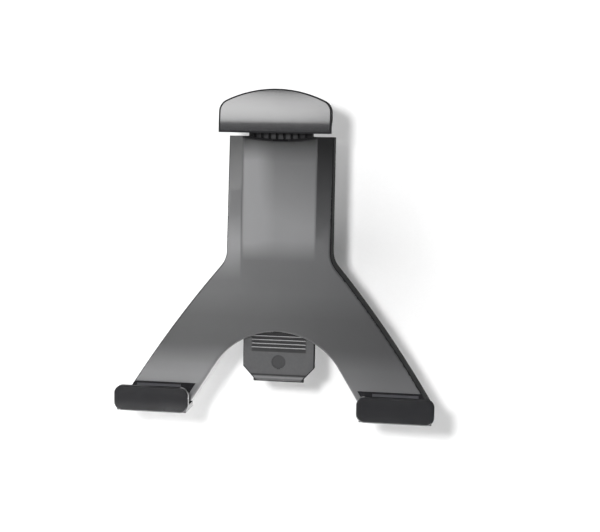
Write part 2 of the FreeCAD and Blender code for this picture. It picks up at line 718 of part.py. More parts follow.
def make_front_shell():
    body = new_body("front_shell")
    outline = front_sketch(body, "shell_outline", cover_back)
    draw(outline, plate_outline(nothing, trunk_top))
    pad(body, "shell_blank", outline, foot_front + beyond - cover_back)

    # The arms come forward in one long curve
    bow = side_sketch(body, "shell_bow")
    bow_drop = foot_drop + beyond - bow_start
    bow_radius = (bow_drop * bow_drop + bow_depth * bow_depth) / (2 * bow_depth)
    draw(bow, side([
        (plate_front, trunk_top + beyond),
        (plate_front, -bow_start, Bend(bow_radius, 1)),
        (foot_front, foot - beyond),
        (foot_front + 2 * beyond, foot - beyond),
        (foot_front + 2 * beyond, trunk_top + beyond),
    ]))
    pocket(body, "shell_front_face", bow, 4 * hook_outer, middle=True)

    # The shoulders fall back from the raised panel and fade out lower down
    upper = top_sketch(body, "shoulder_top", trunk_top)
    lower = top_sketch(body, "shoulder_end", shoulder_foot)
    panel = panel_width / 2
    outside = trunk_width / 2 + beyond
    fall = shoulder_drop * (outside - panel) / (trunk_width / 2 - panel)
    draw(upper, [(panel, -plate_front), (outside, -plate_front + fall), (outside, -plate_front - beyond)])
    draw(lower, [(panel, -plate_front), (outside, -plate_front), (outside, -plate_front - beyond)])
    loft = body.newObject("PartDesign::SubtractiveLoft", "shoulder")
    loft.Profile = upper
    loft.Sections = [lower]
    loft.Ruled = True
    mirror(body, "shoulders", [loft])

    # The raised panel's top edge dips in the middle
    scoop = front_sketch(body, "panel_scoop", plate_front + beyond)
    scoop_radius = (panel * panel + scoop_depth * scoop_depth) / (2 * scoop_depth)
    draw(scoop, [(-panel, trunk_top, Bend(scoop_radius, 1)), (panel, trunk_top), (panel, trunk_top + beyond),
                 (-panel, trunk_top + beyond)])
    pocket(body, "panel_top", scoop, beyond + plate_front - slide_front)

    doc.recompute()
    round_edges(body, "shell_rim", edge_round, is_front_rim(body.Tip.Shape))

    # The inside, from the back
    hollow = front_sketch(body, "hollow_outline", cover_back)
    draw(hollow, plate_outline(shell_wall, trunk_top - shell_wall))
    shallow = slide_back - slide_gap - cover_back
    pocket(body, "hollow", hollow, shallow, turned=True)
    deep = front_sketch(body, "deep_outline", cover_back)
    draw(deep, plate_outline(shell_wall, shoulder_foot - shell_wall))
    pocket(body, "deep_hollow", deep, cavity_front - cover_back, turned=True)
    channel = front_sketch(body, "slide_channel", slide_back - slide_gap)
    narrow = slide_width / 2 + side_gap
    wide = stop_width / 2 + side_gap
    draw(channel, [
        (-wide, shoulder_foot - 2 * shell_wall),
        (wide, shoulder_foot - 2 * shell_wall),
        (wide, stop_level),
        (narrow, stop_level),
        (narrow, trunk_top + beyond),
        (-narrow, trunk_top + beyond),
        (-narrow, stop_level),
        (-wide, stop_level),
    ])
    pocket(body, "slide_way", channel, cavity_front - slide_back + slide_gap, turned=True)

    # Screw bosses
    pilots = front_sketch(body, "pilot_circles", cover_front)
    for spot in cover_screw_places:
        ring(pilots, spot, cover_screw_radius)
    for name, spots, end in (
        ("upper", cover_screw_places[:2], slide_back),
        ("lower", cover_screw_places[2:], cavity_front + face_wall / 4),
    ):
        bosses = front_sketch(body, name + "_boss_circles", cover_front)
        for spot in spots:
            ring(bosses, spot, boss_radius)
        pad(body, name + "_bosses", bosses, end - cover_front)
    pilot_end = cover_back + cover_head_height + cover_screw_length + face_wall / 4
    pocket(body, "pilots", pilots, pilot_end - cover_front, turned=True)

    # Recesses for the hooks, with holes for their bosses
    recess = front_sketch(body, "hook_recesses", foot_front + beyond)
    for turn in (1, -1):
        shelf_end = turn * (hook_inner + hook_shelf_inset - side_gap)
        draw(recess, [
            (shelf_end, foot - beyond),
            (turn * (foot_half + beyond), foot - beyond),
            (turn * (foot_half + beyond), hook_top + side_gap),
            (turn * arch_edge(hook_top, hook_rim), hook_top + side_gap),
            (turn * arch_edge(shelf_top, hook_rim), shelf_top + side_gap),
            (shelf_end, shelf_top + side_gap),
        ])
    pocket(body, "hook_seats", recess, foot_front + beyond - plate_front)
    holes = front_sketch(body, "hook_holes", plate_front)
    for spot in hook_screw_places:
        ring(holes, spot, hook_boss_radius + side_gap)
    pocket(body, "hook_boss_holes", holes, face_wall)

    # Window in the arch wall for the key
    window = front_sketch(body, "key_window", cover_front)
    half = key_width / 2 + side_gap
    draw(window, box((-half, -arch_drop - arch_radius / 2), (half, -arch_drop + shell_wall + beyond)))
    window_end = plate_front - key_setback + rib_height + slide_gap
    pocket(body, "key_way", window, window_end - cover_front, turned=True)
    return node(body)


def make_rear_cover():
    body = new_body("rear_cover")
    outline = front_sketch(body, "cover_outline", cover_back)
    draw(outline, plate_outline(shell_wall + cover_gap, trunk_top - shell_wall - cover_gap))
    ring(outline, (nothing, nothing), hub_radius + running_gap)
    pad(body, "cover_plate", outline, cover_thickness)

    through = front_sketch(body, "screw_holes", cover_front)
    sunk = front_sketch(body, "screw_seats", cover_back)
    for spot in cover_screw_places:
        ring(through, spot, cover_screw_radius + side_gap)
        ring(sunk, spot, cover_head_radius + side_gap)
    pocket(body, "holes", through, cover_thickness)
    pocket(body, "seats", sunk, cover_head_height, turned=True)

    # Ears that carry the pawl's pin
    ears = side_sketch(body, "pawl_ears", pawl_width / 2 + pawl_boss / 2 + side_gap)
    pin_level = tooth_level + pawl_reach
    pin_forward = slide_back - slide_gap - pawl_boss
    draw(ears, side([
        (cover_front - cover_thickness / 2, pin_level - pawl_boss),
        (pin_forward, pin_level - pawl_boss, Bend(pawl_boss, 1)),
        (pin_forward + pawl_boss, pin_level, Bend(pawl_boss, 1)),
        (pin_forward, pin_level + pawl_boss),
        (cover_front - cover_thickness / 2, pin_level + pawl_boss),
    ]))
    ring(ears, (-pin_forward, pin_level), pawl_pin_radius)
    ear = pad(body, "pawl_ear", ears, pawl_ear)
    mirror(body, "pawl_ear_pair", [ear])

    # Rib that the key spring pushes against, and the guides beside the key's links
    rib = front_sketch(body, "spring_rib", cover_front)
    rib_low = -key_top + spring_length
    draw(rib, box((-2 * spring_radius, rib_low), (2 * spring_radius, rib_low + spring_stop)))
    for turn in (1, -1):
        guide = turn * (link_inner - side_gap)
        draw(rib, box((guide, -slide_foot), (guide - turn * shell_wall / 2, -retainer_radius - 2 * side_gap)))
    pad(body, "ribs", rib, works_depth - 2 * slide_gap)

    # Stud that holds the pawl spring
    stud = front_sketch(body, "leaf_stud", cover_front)
    ring(stud, (nothing, pin_level - 3 * pawl_boss), leaf_width / 6)
    pad(body, "stud", stud, 3 * leaf_thickness)
    return node(body)


def make_jaw_slide():
    body = new_body("jaw_slide")
    outline = front_sketch(body, "slide_outline", slide_back)
    half = slide_width / 2
    stop = stop_width / 2
    draw(outline, [
        (-stop, -slide_foot),
        (stop, -slide_foot),
        (stop, -slide_foot + stop_height),
        (half, -slide_foot + stop_height),
        (half, slide_top),
        (-half, slide_top),
        (-half, -slide_foot + stop_height),
        (-stop, -slide_foot + stop_height),
    ])
    pad(body, "slide_bar", outline, slide_thickness)

    # Grooves along the front
    groove = front_sketch(body, "groove", slide_front)
    first = -groove_pitch * (groove_count - 1) / 2
    groove_half = groove_width / 2
    draw(groove, box((first - groove_half, -slide_foot - beyond), (first + groove_half, slide_top + beyond)))
    cut = pocket(body, "first_groove", groove, groove_depth)
    repeat(body, "grooves", cut, "X_Axis", groove_pitch, groove_count)

    # Ratchet notches down the back, as many as the travel takes
    notch = side_sketch(body, "notch")
    face = slide_back - slide_gap
    floor = face + tooth_depth + side_gap
    low = tooth_level - side_gap
    draw(notch, side([
        (face, low),
        (floor, low + tooth_rake * (floor - face) / tooth_depth),
        (floor, tooth_level + tooth_rake + tooth_tip + side_gap),
        (face, tooth_level + tooth_rise + 2 * side_gap),
    ]))
    first_notch = pocket(body, "first_notch", notch, rack_width, middle=True)
    repeat(body, "notches", first_notch, "Z_Axis", rack_pitch, slide_travel / rack_pitch + 1, turned=True)

    # Pilot holes of the jaw screws
    holes = front_sketch(body, "slide_screw_holes", slide_back)
    for turn in (1, -1):
        ring(holes, (turn * head_screw_x, head_screw_z), cover_screw_radius)
    pocket(body, "slide_pilots", holes, head_screw_length - head_back_wall, turned=True)
    return node(body)


def dome(body, name, forward, half, apex):
    """Sketches the jaw's dome shape; returns the sketch and the level of its shoulders."""
    level = apex - head_top_radius + root(head_top_radius * head_top_radius - half * half)
    outline = front_sketch(body, name, forward)
    draw(outline, [
        (-half, head_base),
        (half, head_base),
        (half, level, Bend(head_top_radius, 1)),
        (-half, level),
    ])
    return outline, level


def make_jaw_head():
    body = new_body("jaw_head")
    lip_front = plate_front + head_reach
    face_back = lip_front - head_face_depth
    half = head_width / 2
    outline, shoulder = dome(body, "head_outline", face_back, half, head_apex)
    pad(body, "head_blank", outline, head_face_depth)
    round_edges(body, "head_corners", head_corner, lambda edge: runs_along_y(edge, half, shoulder))

    # The neck that carries it back to the slide, hidden behind it
    neck_back = slide_back - head_back_wall
    neck = head_bridge_width / 2
    outline, neck_level = dome(body, "neck_outline", neck_back, neck, head_apex - head_bridge_drop)
    pad(body, "head_neck", outline, face_back - neck_back)
    round_edges(body, "neck_corners", head_corner, lambda edge: runs_along_y(edge, neck, neck_level))

    # The face that leans back from the lip to the crest
    slope = side_sketch(body, "head_slope")
    draw(slope, side([
        (lip_front, head_base + head_lip_height, Bend(head_sweep, 1)),
        (plate_front + head_crest, head_apex),
        (plate_front + head_crest, head_apex + beyond),
        (lip_front + beyond, head_apex + beyond),
        (lip_front + beyond, head_base + head_lip_height),
    ]))
    pocket(body, "head_face", slope, 2 * head_width, middle=True)

    # The channel that takes the tablet's upper edge
    channel = side_sketch(body, "head_channel")
    back = plate_front + hook_back
    inner = lip_front - head_lip_thickness
    draw(channel, side([
        (back, head_base - beyond),
        (inner, head_base - beyond),
        (inner, head_base + head_ceiling - head_slant),
        (inner - head_slant, head_base + head_ceiling),
        (back, head_base + head_ceiling),
    ]))
    pocket(body, "head_channel_cut", channel, 2 * head_width, middle=True)

    # The slot for the slide, and the screw holes behind it
    slot = front_sketch(body, "head_slot", slide_front + side_gap)
    slot_half = slide_width / 2 + side_gap
    draw(slot, box((-slot_half, head_base - beyond), (slot_half, slide_top)))
    pocket(body, "head_slot_cut", slot, slide_thickness + side_gap)
    holes = front_sketch(body, "head_screw_holes", slide_back)
    for turn in (1, -1):
        ring(holes, (turn * head_screw_x, head_screw_z), cover_screw_radius)
    pocket(body, "head_holes", holes, 2 * head_back_wall)
    return node(body)


def make_jaw_pad():
    body = new_body("jaw_pad")
    profile = side_sketch(body, "pad_profile")
    back = plate_front + hook_back
    inner = plate_front + head_reach - head_lip_thickness
    ceiling = head_base + head_ceiling
    inside = pad_thickness
    draw(profile, side([
        (back, head_base + pad_margin / 3),
        (back + inside, head_base + pad_margin / 3),
        (back + inside, ceiling - inside),
        (inner - head_slant - inside / 2, ceiling - inside),
        (inner - inside, ceiling - head_slant - inside / 2),
        (inner - inside, head_base + pad_margin / 3),
        (inner, head_base + pad_margin / 3),
        (inner, ceiling - head_slant),
        (inner - head_slant, ceiling),
        (back, ceiling),
    ]))
    pad(body, "pad_strip", profile, head_bridge_width - 2 * pad_margin, middle=True)
    return node(body)


def make_hook(turn, label):
    """A lower hook: back wall in the arm's recess, shelf and lip. turn is 1 right and -1 left."""
    body = new_body(label)
    gap = side_gap
    back = front_sketch(body, label + "_back", plate_front)
    draw(back, [
        (turn * (arch_edge(shelf_top, hook_rim) + gap), foot),
        (turn * foot_half, foot),
        (turn * foot_half, arm_level(foot_half)),
        (turn * arm_edge(hook_top), hook_top),
        (turn * (arch_edge(hook_top, hook_rim) + gap), hook_top),
        (turn * (arch_edge(shelf_top, hook_rim) + gap), shelf_top),
    ])
    pad(body, label + "_back_wall", back, hook_back)

    lip_front = plate_front + hook_reach
    lip = front_sketch(body, label + "_lip", lip_front - hook_lip_thickness)
    near_x, far_x = (hook_inner, hook_outer) if turn > 0 else (-hook_outer, -hook_inner)
    low = foot + hook_lift
    high = foot + hook_height
    corner = hook_corner
    draw(lip, [
        (near_x + corner, low),
        (far_x - corner, low, Bend(corner, 1)),
        (far_x, low + corner),
        (far_x, high - corner, Bend(corner, 1)),
        (far_x - corner, high),
        (near_x + corner, high, Bend(corner, 1)),
        (near_x, high - corner),
        (near_x, low + corner, Bend(corner, 1)),
    ])
    pad(body, label + "_lip_wall", lip, hook_lip_thickness)
    break_edges(
        body, label + "_lip_edge", edge_round / 2,
        lambda edge: all(near(-point.Y, lip_front) for point in edge.Vertexes),
    )

    shelf = front_sketch(body, label + "_shelf", plate_front)
    draw(shelf, box((near_x + hook_shelf_inset, low), (far_x - hook_shelf_inset, low + hook_shelf)))
    pad(body, label + "_shelf_floor", shelf, hook_reach - hook_lip_thickness / 2)

    # Bosses that pass through the shell's wall
    bosses = front_sketch(body, label + "_bosses", plate_front)
    pilots = front_sketch(body, label + "_pilots", plate_front - hook_boss_length)
    for x in (hook_screw_inner, hook_screw_outer):
        ring(bosses, (turn * x, -hook_screw_drop), hook_boss_radius)
        ring(pilots, (turn * x, -hook_screw_drop), cover_screw_radius)
    pad(body, label + "_boss_pair", bosses, hook_boss_length, turned=True)
    pocket(body, label + "_pilot_pair", pilots, hook_screw_length - face_wall + hook_boss_length, turned=True)
    return node(body)


def make_hook_pad(turn, label):
    """The rubber liner of a hook: along its back wall, shelf and lip."""
    body = new_body(label)
    low = shelf_top
    back = plate_front + hook_back
    inner = plate_front + hook_reach - hook_lip_thickness
    high = hook_top - pad_margin / 2
    lip_high = foot + hook_height - pad_margin
    start = arch_edge(shelf_top, hook_rim) + pad_margin
    end = arm_edge(hook_top) - pad_margin
    lip_end = hook_outer - hook_corner
    whole = side_sketch(body, label + "_whole", turn * start)
    draw(whole, side([
        (back, low),
        (inner, low),
        (inner, lip_high),
        (inner - pad_thickness, lip_high),
        (inner - pad_thickness, low + pad_thickness),
        (back + pad_thickness, low + pad_thickness),
        (back + pad_thickness, high),
        (back, high),
    ]))
    pad(body, label + "_strip", whole, end - start, turned=turn < 0)
    outer = side_sketch(body, label + "_outer", turn * end)
    draw(outer, side([
        (back, low),
        (inner, low),
        (inner, lip_high),
        (inner - pad_thickness, lip_high),
        (inner - pad_thickness, low + pad_thickness),
        (back, low + pad_thickness),
    ]))
    pad(body, label + "_end", outer, lip_end - end, turned=turn < 0)
    return node(body)


def make_release_key():
    body = new_body("release_key")
    front = plate_front - key_setback
    back = front - key_thickness
    half = key_width / 2
    narrow = key_foot_width / 2
    plate = front_sketch(body, "key_plate", back)
    draw(plate, [
        (-half, -key_top),
        (-half, -key_shoulder),
        (-narrow, -key_foot),
        (narrow, -key_foot),
        (half, -key_shoulder),
        (half, -key_top),
    ])
    pad(body, "key_tab", plate, key_thickness)
    roll = side_sketch(body, "key_roll")
    ring(roll, (-(back + key_roll), -key_foot), key_roll)
    pad(body, "key_rolled_edge", roll, key_foot_width, middle=True)

    # Grip ribs and the dimple
    rib = side_sketch(body, "grip_rib")
    draw(rib, side([
        (front - rib_height, -rib_level - rib_thickness / 2),
        (front + rib_height, -rib_level - rib_thickness / 4),
        (front + rib_height, -rib_level + rib_thickness / 4),
        (front - rib_height, -rib_level + rib_thickness / 2),
    ]))
    first = pad(body, "first_rib", rib, rib_width, middle=True)
    repeat(body, "grip_ribs", first, "Z_Axis", rib_pitch, rib_count, turned=True)
    dimple = front_sketch(body, "dimple", front)
    ring(dimple, (nothing, -dimple_level), dimple_radius)
    pocket(body, "dimple_cut", dimple, dimple_depth)

    # Links that pass beside the swivel, and the bridge with its wedge
    links = front_sketch(body, "links", cover_front + link_gap)
    bridge_top = tooth_level - pawl_tail - key_travel - side_gap
    bridge_low = bridge_top - bridge_height
    outside = link_inner + link_width
    draw(links, [
        (-outside, -key_top - link_thickness),
        (-link_inner, -key_top - link_thickness),
        (-link_inner, bridge_low),
        (link_inner, bridge_low),
        (link_inner, -key_top - link_thickness),
        (outside, -key_top - link_thickness),
        (outside, bridge_top),
        (-outside, bridge_top),
    ])
    pad(body, "key_links", links, link_thickness)
    wedge = side_sketch(body, "wedge")
    face = slide_back - slide_gap
    wedge_top = tooth_level - wedge_gap - pawl_tail + wedge_thickness / 2
    draw(wedge, side([
        (cover_front + link_gap + link_thickness / 2, bridge_low),
        (face, bridge_low),
        (face, wedge_top),
        (face - wedge_thickness, wedge_top - wedge_thickness),
        (face - wedge_thickness, bridge_top),
        (cover_front + link_gap + link_thickness / 2, bridge_top),
    ]))
    pad(body, "key_wedge", wedge, wedge_width, middle=True)
    return node(body)


def make_pawl():
    body = new_body("pawl")
    pin_level = tooth_level + pawl_reach
    pin_forward = slide_back - slide_gap - pawl_boss
    face = slide_back - slide_gap
    boss = side_sketch(body, "pawl_boss")
    ring(boss, (-pin_forward, pin_level), pawl_boss)
    pad(body, "pawl_hub", boss, pawl_width + pawl_boss / 2, middle=True)
    arm = side_sketch(body, "pawl_arm")
    tail_low = tooth_level - pawl_tail
    draw(arm, side([
        (face, pin_level),
        (face, tooth_level + tooth_rise),
        (face + tooth_depth, tooth_level + tooth_rake + tooth_tip),
        (face + tooth_depth, tooth_level + tooth_rake),
        (face, tooth_level),
        (face, tail_low + pawl_thickness / 2),
        (face - pawl_thickness / 2, tail_low),
        (face - pawl_thickness, tail_low),
        (face - pawl_thickness, pin_level),
    ]))
    pad(body, "pawl_lever", arm, pawl_width, middle=True)
    hole = side_sketch(body, "pawl_bore")
    ring(hole, (-pin_forward, pin_level), pawl_pin_radius + running_gap)
    pocket(body, "pawl_pin_bore", hole, 2 * pawl_width, middle=True)
    return node(body)


def make_pawl_pin():
    length = pawl_width + pawl_boss + 2 * side_gap + 2 * pawl_ear
    pin = rod("pawl_pin", pawl_pin_radius, length, ALONG_X, -length / 2,
              slide_back - slide_gap - pawl_boss, tooth_level + pawl_reach)
    return node(pin)


def make_pawl_spring():
    body = new_body("pawl_spring")
    pin_level = tooth_level + pawl_reach
    stud_level = pin_level - 3 * pawl_boss
    leaf = side_sketch(body, "leaf")
    tip = slide_back - slide_gap - pawl_thickness
    tip_level = tooth_level + tooth_rise
    bend_level = stud_level - leaf_width / 2
    thick = leaf_thickness
    draw(leaf, side([
        (cover_front, stud_level + leaf_width / 4),
        (cover_front, bend_level),
        (tip - thick - thick / 4, tip_level),
        (tip - thick - thick, tip_level - 4 * thick),
        (tip - thick, tip_level - 4 * thick),
        (tip - thick / 4, tip_level),
        (cover_front + thick, bend_level + thick),
        (cover_front + thick, stud_level + leaf_width / 4),
    ]))
    pad(body, "leaf_strip", leaf, leaf_width, middle=True)
    hole = front_sketch(body, "leaf_hole", cover_front + beyond)
    ring(hole, (nothing, stud_level), leaf_width / 6)
    pocket(body, "leaf_hole_cut", hole, 2 * beyond)
    return node(body)


def make_key_spring():
    body = new_body("key_spring")
    wire = new_sketch(body, "spring_wire", "XZ_Plane", nothing)
    draw(wire, box((spring_radius - spring_wire, nothing), (spring_radius + spring_wire, 2 * spring_wire)))
    coil = body.newObject("PartDesign::AdditiveHelix", "spring_coil")
    coil.Profile = wire
    coil.ReferenceAxis = (plane(body, "Z_Axis"), [""])
    coil.Mode = "height-turns-angle"
    coil.setExpression("Height", (spring_length - 2 * spring_wire).text)
    coil.setExpression("Turns", spring_turns.text)
    coil.Angle = 0
    coil.Growth = 0
    place(body, nothing, cover_front + works_depth / 2, -key_top)
    return node(body)


def make_swivel_plate():
    body = new_body("swivel_plate")
    disc = front_sketch(body, "disc", disc_back)
    ring(disc, (nothing, nothing), disc_radius)
    pad(body, "swivel_disc", disc, disc_thickness)
    hub = front_sketch(body, "hub", disc_front)
    ring(hub, (nothing, nothing), hub_radius)
    pad(body, "swivel_hub", hub, hub_end - disc_front)
    tongue = side_sketch(body, "tongue")
    draw(tongue, side([
        (disc_front - disc_thickness / 2, -ear_radius),
        (disc_front - disc_thickness / 2, ear_radius),
        (tilt_forward, ear_radius, Bend(ear_radius, 1)),
        (tilt_forward - ear_radius, nothing, Bend(ear_radius, 1)),
        (tilt_forward, -ear_radius),
    ]))
    pad(body, "tilt_tongue", tongue, tongue_thickness, middle=True)
    bore = side_sketch(body, "tilt_bore")
    ring(bore, (-tilt_forward, nothing), tilt_bolt_radius + running_gap)
    pocket(body, "tilt_bore_cut", bore, 2 * tongue_thickness, middle=True)
    tap = front_sketch(body, "swivel_tap", hub_end)
    ring(tap, (nothing, nothing), swivel_screw_radius)
    pocket(body, "swivel_tap_cut", tap, swivel_screw_length - retainer_thickness)
    break_edges(body, "disc_edge", edge_round / 2, lambda edge: is_round(edge, disc_radius, disc_back))
    return node(body)


def flat_ring(label, outer, inner, back, thickness):
    body = new_body(label)
    sketch = front_sketch(body, label + "_circles", back)
    ring(sketch, (nothing, nothing), outer)
    ring(sketch, (nothing, nothing), inner)
    pad(body, label + "_ring", sketch, thickness)
    return node(body)


def make_clamp_frame():
    body = new_body("clamp_frame")
    outline = top_sketch(body, "clamp_outline")
    draw(outline, [
        (-web_outer, -clamp_face),
        (front_arm_reach, -clamp_face),
        (front_arm_reach, -clamp_seat),
        (-web_inner, -clamp_seat),
        (-web_inner, arm_inner),
        (back_arm_reach, arm_inner),
        (back_arm_reach, arm_outer),
        (-web_outer, arm_outer),
    ])
    pad(body, "clamp_block", outline, clamp_height, middle=True)

    def upright_at(corners):
        return lambda edge: len(edge.Vertexes) == 2 and any(
            all(near(end.X, x) and near(end.Y, y) for end in edge.Vertexes) for x, y in corners
        )

    round_edges(body, "inner_corners", clamp_corner / 2, upright_at([
        (-web_inner, -clamp_seat), (-web_inner, arm_inner),
    ]))
    round_edges(body, "outer_corners", clamp_corner, upright_at([
        (-web_outer, -clamp_face), (-web_outer, arm_outer), (back_arm_reach, arm_outer),
    ]))
    round_edges(body, "arm_tips", clamp_corner / 2, upright_at([
        (front_arm_reach, -clamp_face), (front_arm_reach, -clamp_seat), (back_arm_reach, arm_inner),
    ]))

    # Yoke that carries the tilt bolt
    ear = side_sketch(body, "yoke_ear", tongue_thickness / 2 + side_gap)
    draw(ear, side([
        (clamp_face - clamp_wall / 2, -ear_radius),
        (tilt_forward, -ear_radius, Bend(ear_radius, 1)),
        (tilt_forward + ear_radius, nothing, Bend(ear_radius, 1)),
        (tilt_forward, ear_radius),
        (clamp_face - clamp_wall / 2, ear_radius),
    ]))
    first_ear = pad(body, "yoke_ear_pad", ear, ear_thickness)
    mirror(body, "yoke_ears", [first_ear])
    bore = side_sketch(body, "yoke_bore")
    ring(bore, (-tilt_forward, nothing), tilt_bolt_radius)
    pocket(body, "yoke_bore_cut", bore, 2 * ear_outer + beyond, middle=True)

    # Bore for the threaded insert, and the slot that guides the pressure jaw
    seat = front_sketch(body, "insert_bore", -arm_inner + beyond)
    ring(seat, (nothing, nothing), screw_radius + running_gap + insert_wall)
    pocket(body, "insert_bore_cut", seat, back_arm_thickness + 2 * beyond)
    slot = top_sketch(body, "guide_slot")
    slot_low = (-web_inner - guide_depth, clamp_seat - jaw_travel_in)
    draw(slot, box(slot_low, (-web_inner + beyond / 2, arm_inner)))
    pocket(body, "guide_slot_cut", slot, guide_width + 2 * side_gap, middle=True)
    return node(body)


def make_seat_liner():
    body = new_body("seat_liner")
    sketch = top_sketch(body, "seat_liner_outline")
    half = liner_width / 2
    wing = post_radius - liner_wing
    mouth = root(post_radius * post_radius - wing * wing)
    draw(sketch, [
        (-half, -clamp_seat),
        (half, -clamp_seat),
        (half, -wing),
        (mouth, -wing, Bend(post_radius, -1)),
        (-mouth, -wing),
        (-half, -wing),
    ])
    pad(body, "seat_liner_block", sketch, clamp_height, middle=True)
    return node(body)


def make_pressure_liner():
    body = new_body("pressure_liner")
    sketch = top_sketch(body, "pressure_liner_outline")
    half = liner_width / 2
    wing = post_radius - liner_wing
    mouth = root(post_radius * post_radius - wing * wing)
    draw(sketch, [
        (half, clamp_seat),
        (-half, clamp_seat),
        (-half, wing),
        (-mouth, wing, Bend(post_radius, -1)),
        (mouth, wing),
        (half, wing),
    ])
    pad(body, "pressure_liner_block", sketch, clamp_height, middle=True)
    return node(body)


def make_pressure_jaw():
    body = new_body("pressure_jaw")
    plate = top_sketch(body, "jaw_plate")
    half = jaw_plate_width / 2
    draw(plate, box((-half, clamp_seat), (half, clamp_seat + jaw_plate_thickness)))
    pad(body, "jaw_plate_block", plate, clamp_height, middle=True)
    tongue = top_sketch(body, "jaw_tongue")
    margin = jaw_plate_thickness / 10
    draw(tongue, box((-web_inner - guide_depth + side_gap, clamp_seat + margin),
                     (-half + beyond, clamp_seat + jaw_plate_thickness - margin)))
    pad(body, "jaw_guide", tongue, guide_width, middle=True)
    boss = front_sketch(body, "jaw_boss", -clamp_seat - jaw_plate_thickness)
    ring(boss, (nothing, nothing), jaw_boss_radius)
    pad(body, "jaw_boss_pad", boss, jaw_boss_length, turned=True)
    socket = front_sketch(body, "jaw_socket", -jaw_back)
    ring(socket, (nothing, nothing), screw_nose_radius + running_gap)
    pocket(body, "jaw_socket_cut", socket, screw_nose_length + side_gap, turned=True)
    return node(body)


def make_clamp_screw():
    body = new_body("clamp_screw")
    profile = top_sketch(body, "screw_profile")
    shoulder = jaw_back + slide_gap
    end = knob_start + knob_bore_depth
    stem = screw_nose_radius
    chamfer = screw_nose_radius / 4
    draw(profile, [
        (nothing, jaw_back - screw_nose_length),
        (screw_nose_radius - chamfer, jaw_back - screw_nose_length),
        (screw_nose_radius, jaw_back - screw_nose_length + chamfer),
        (screw_nose_radius, shoulder),
        (screw_radius, shoulder + chamfer),
        (screw_radius, knob_start),
        (stem, knob_start),
        (stem, end),
        (nothing, end),
    ])
    turned = body.newObject("PartDesign::Revolution", "screw_turned")
    turned.Profile = profile
    turned.ReferenceAxis = (plane(body, "Y_Axis"), [""])
    turned.Angle = 360
    return node(body)


def make_thread_insert():
    body = new_body("thread_insert")
    sketch = front_sketch(body, "insert_circles", -arm_outer)
    ring(sketch, (nothing, nothing), screw_radius + running_gap + insert_wall)
    ring(sketch, (nothing, nothing), screw_radius + running_gap)
    pad(body, "insert_sleeve", sketch, back_arm_thickness)
    return node(body)


def make_clamp_knob():
    body = new_body("clamp_knob")
    knob_end = knob_start + knob_thickness
    blank = front_sketch(body, "knob_blank", -knob_end)
    ring(blank, (nothing, nothing), knob_radius)
    pad(body, "knob_round", blank, knob_thickness)
    scallop = front_sketch(body, "knob_scallop", -knob_start)
    ring(scallop, (nothing, knob_radius + knob_scallop_rise), knob_scallop)
    cut = pocket(body, "first_scallop", scallop, knob_thickness)
    repeat_round(body, "knob_scallops", cut, "Y_Axis", knob_lobes)
    bore = front_sketch(body, "knob_bore", -knob_start)
    ring(bore, (nothing, nothing), screw_nose_radius)
    pocket(body, "knob_bore_cut", bore, knob_bore_depth)
    break_edges(body, "knob_edges", edge_round, lambda edge: all(
        near(end.Y, knob_end) and math.hypot(end.X, end.Z) > (knob_radius / 2).number for end in edge.Vertexes
    ))
    return node(body)


def make_tilt_bolt():
    length = 2 * ear_outer + slide_gap + tilt_knob_thickness - tilt_nut_height / 4
    shank = rod("tilt_bolt_shank", tilt_bolt_radius, length, ALONG_X, -ear_outer, tilt_forward, nothing)
    head = doc.addObject("Part::Prism", "tilt_bolt_head")
    head.Polygon = 6
    head.setExpression("Circumradius", tilt_head_radius.text)
    head.setExpression("Height", tilt_head_height.text)
    head.Placement = FreeCAD.Placement(FreeCAD.Vector(0, 0, 0), ALONG_X)
    place(head, -ear_outer - tilt_head_height, tilt_forward, nothing)
    return node(fuse("tilt_bolt", [shank, head]))


def make_tilt_knob():
    body = new_body("tilt_knob")
    start = ear_outer + slide_gap
    blank = side_sketch(body, "tilt_knob_blank", start)
    ring(blank, (nothing, nothing), tilt_knob_radius)
    ring(blank, (nothing, nothing), tilt_bolt_radius + running_gap)
    pad(body, "tilt_knob_round", blank, tilt_knob_thickness)
    groove = side_sketch(body, "tilt_knob_groove", start + tilt_knob_thickness)
    ring(groove, (nothing, tilt_knob_radius + tilt_knob_scallop / 3), tilt_knob_scallop)
    cut = pocket(body, "first_knob_groove", groove, tilt_knob_thickness)
    repeat_round(body, "tilt_knob_grip", cut, "X_Axis", tilt_knob_grooves)
    pocket_sketch = side_sketch(body, "nut_seat", start + tilt_knob_thickness)
    draw(pocket_sketch, hexagon(tilt_nut_radius))
    pocket(body, "nut_seat_cut", pocket_sketch, tilt_nut_height)
    place(body, nothing, tilt_forward, nothing)
    return node(body)


def make_tilt_nut():
    body = new_body("tilt_nut")
    sketch = side_sketch(body, "nut_outline", ear_outer + slide_gap + tilt_knob_thickness - tilt_nut_height)
    draw(sketch, hexagon(tilt_nut_radius))
    ring(sketch, (nothing, nothing), tilt_bolt_radius + running_gap)
    pad(body, "nut_body", sketch, tilt_nut_height)
    place(body, nothing, tilt_forward, nothing)
    return node(body)


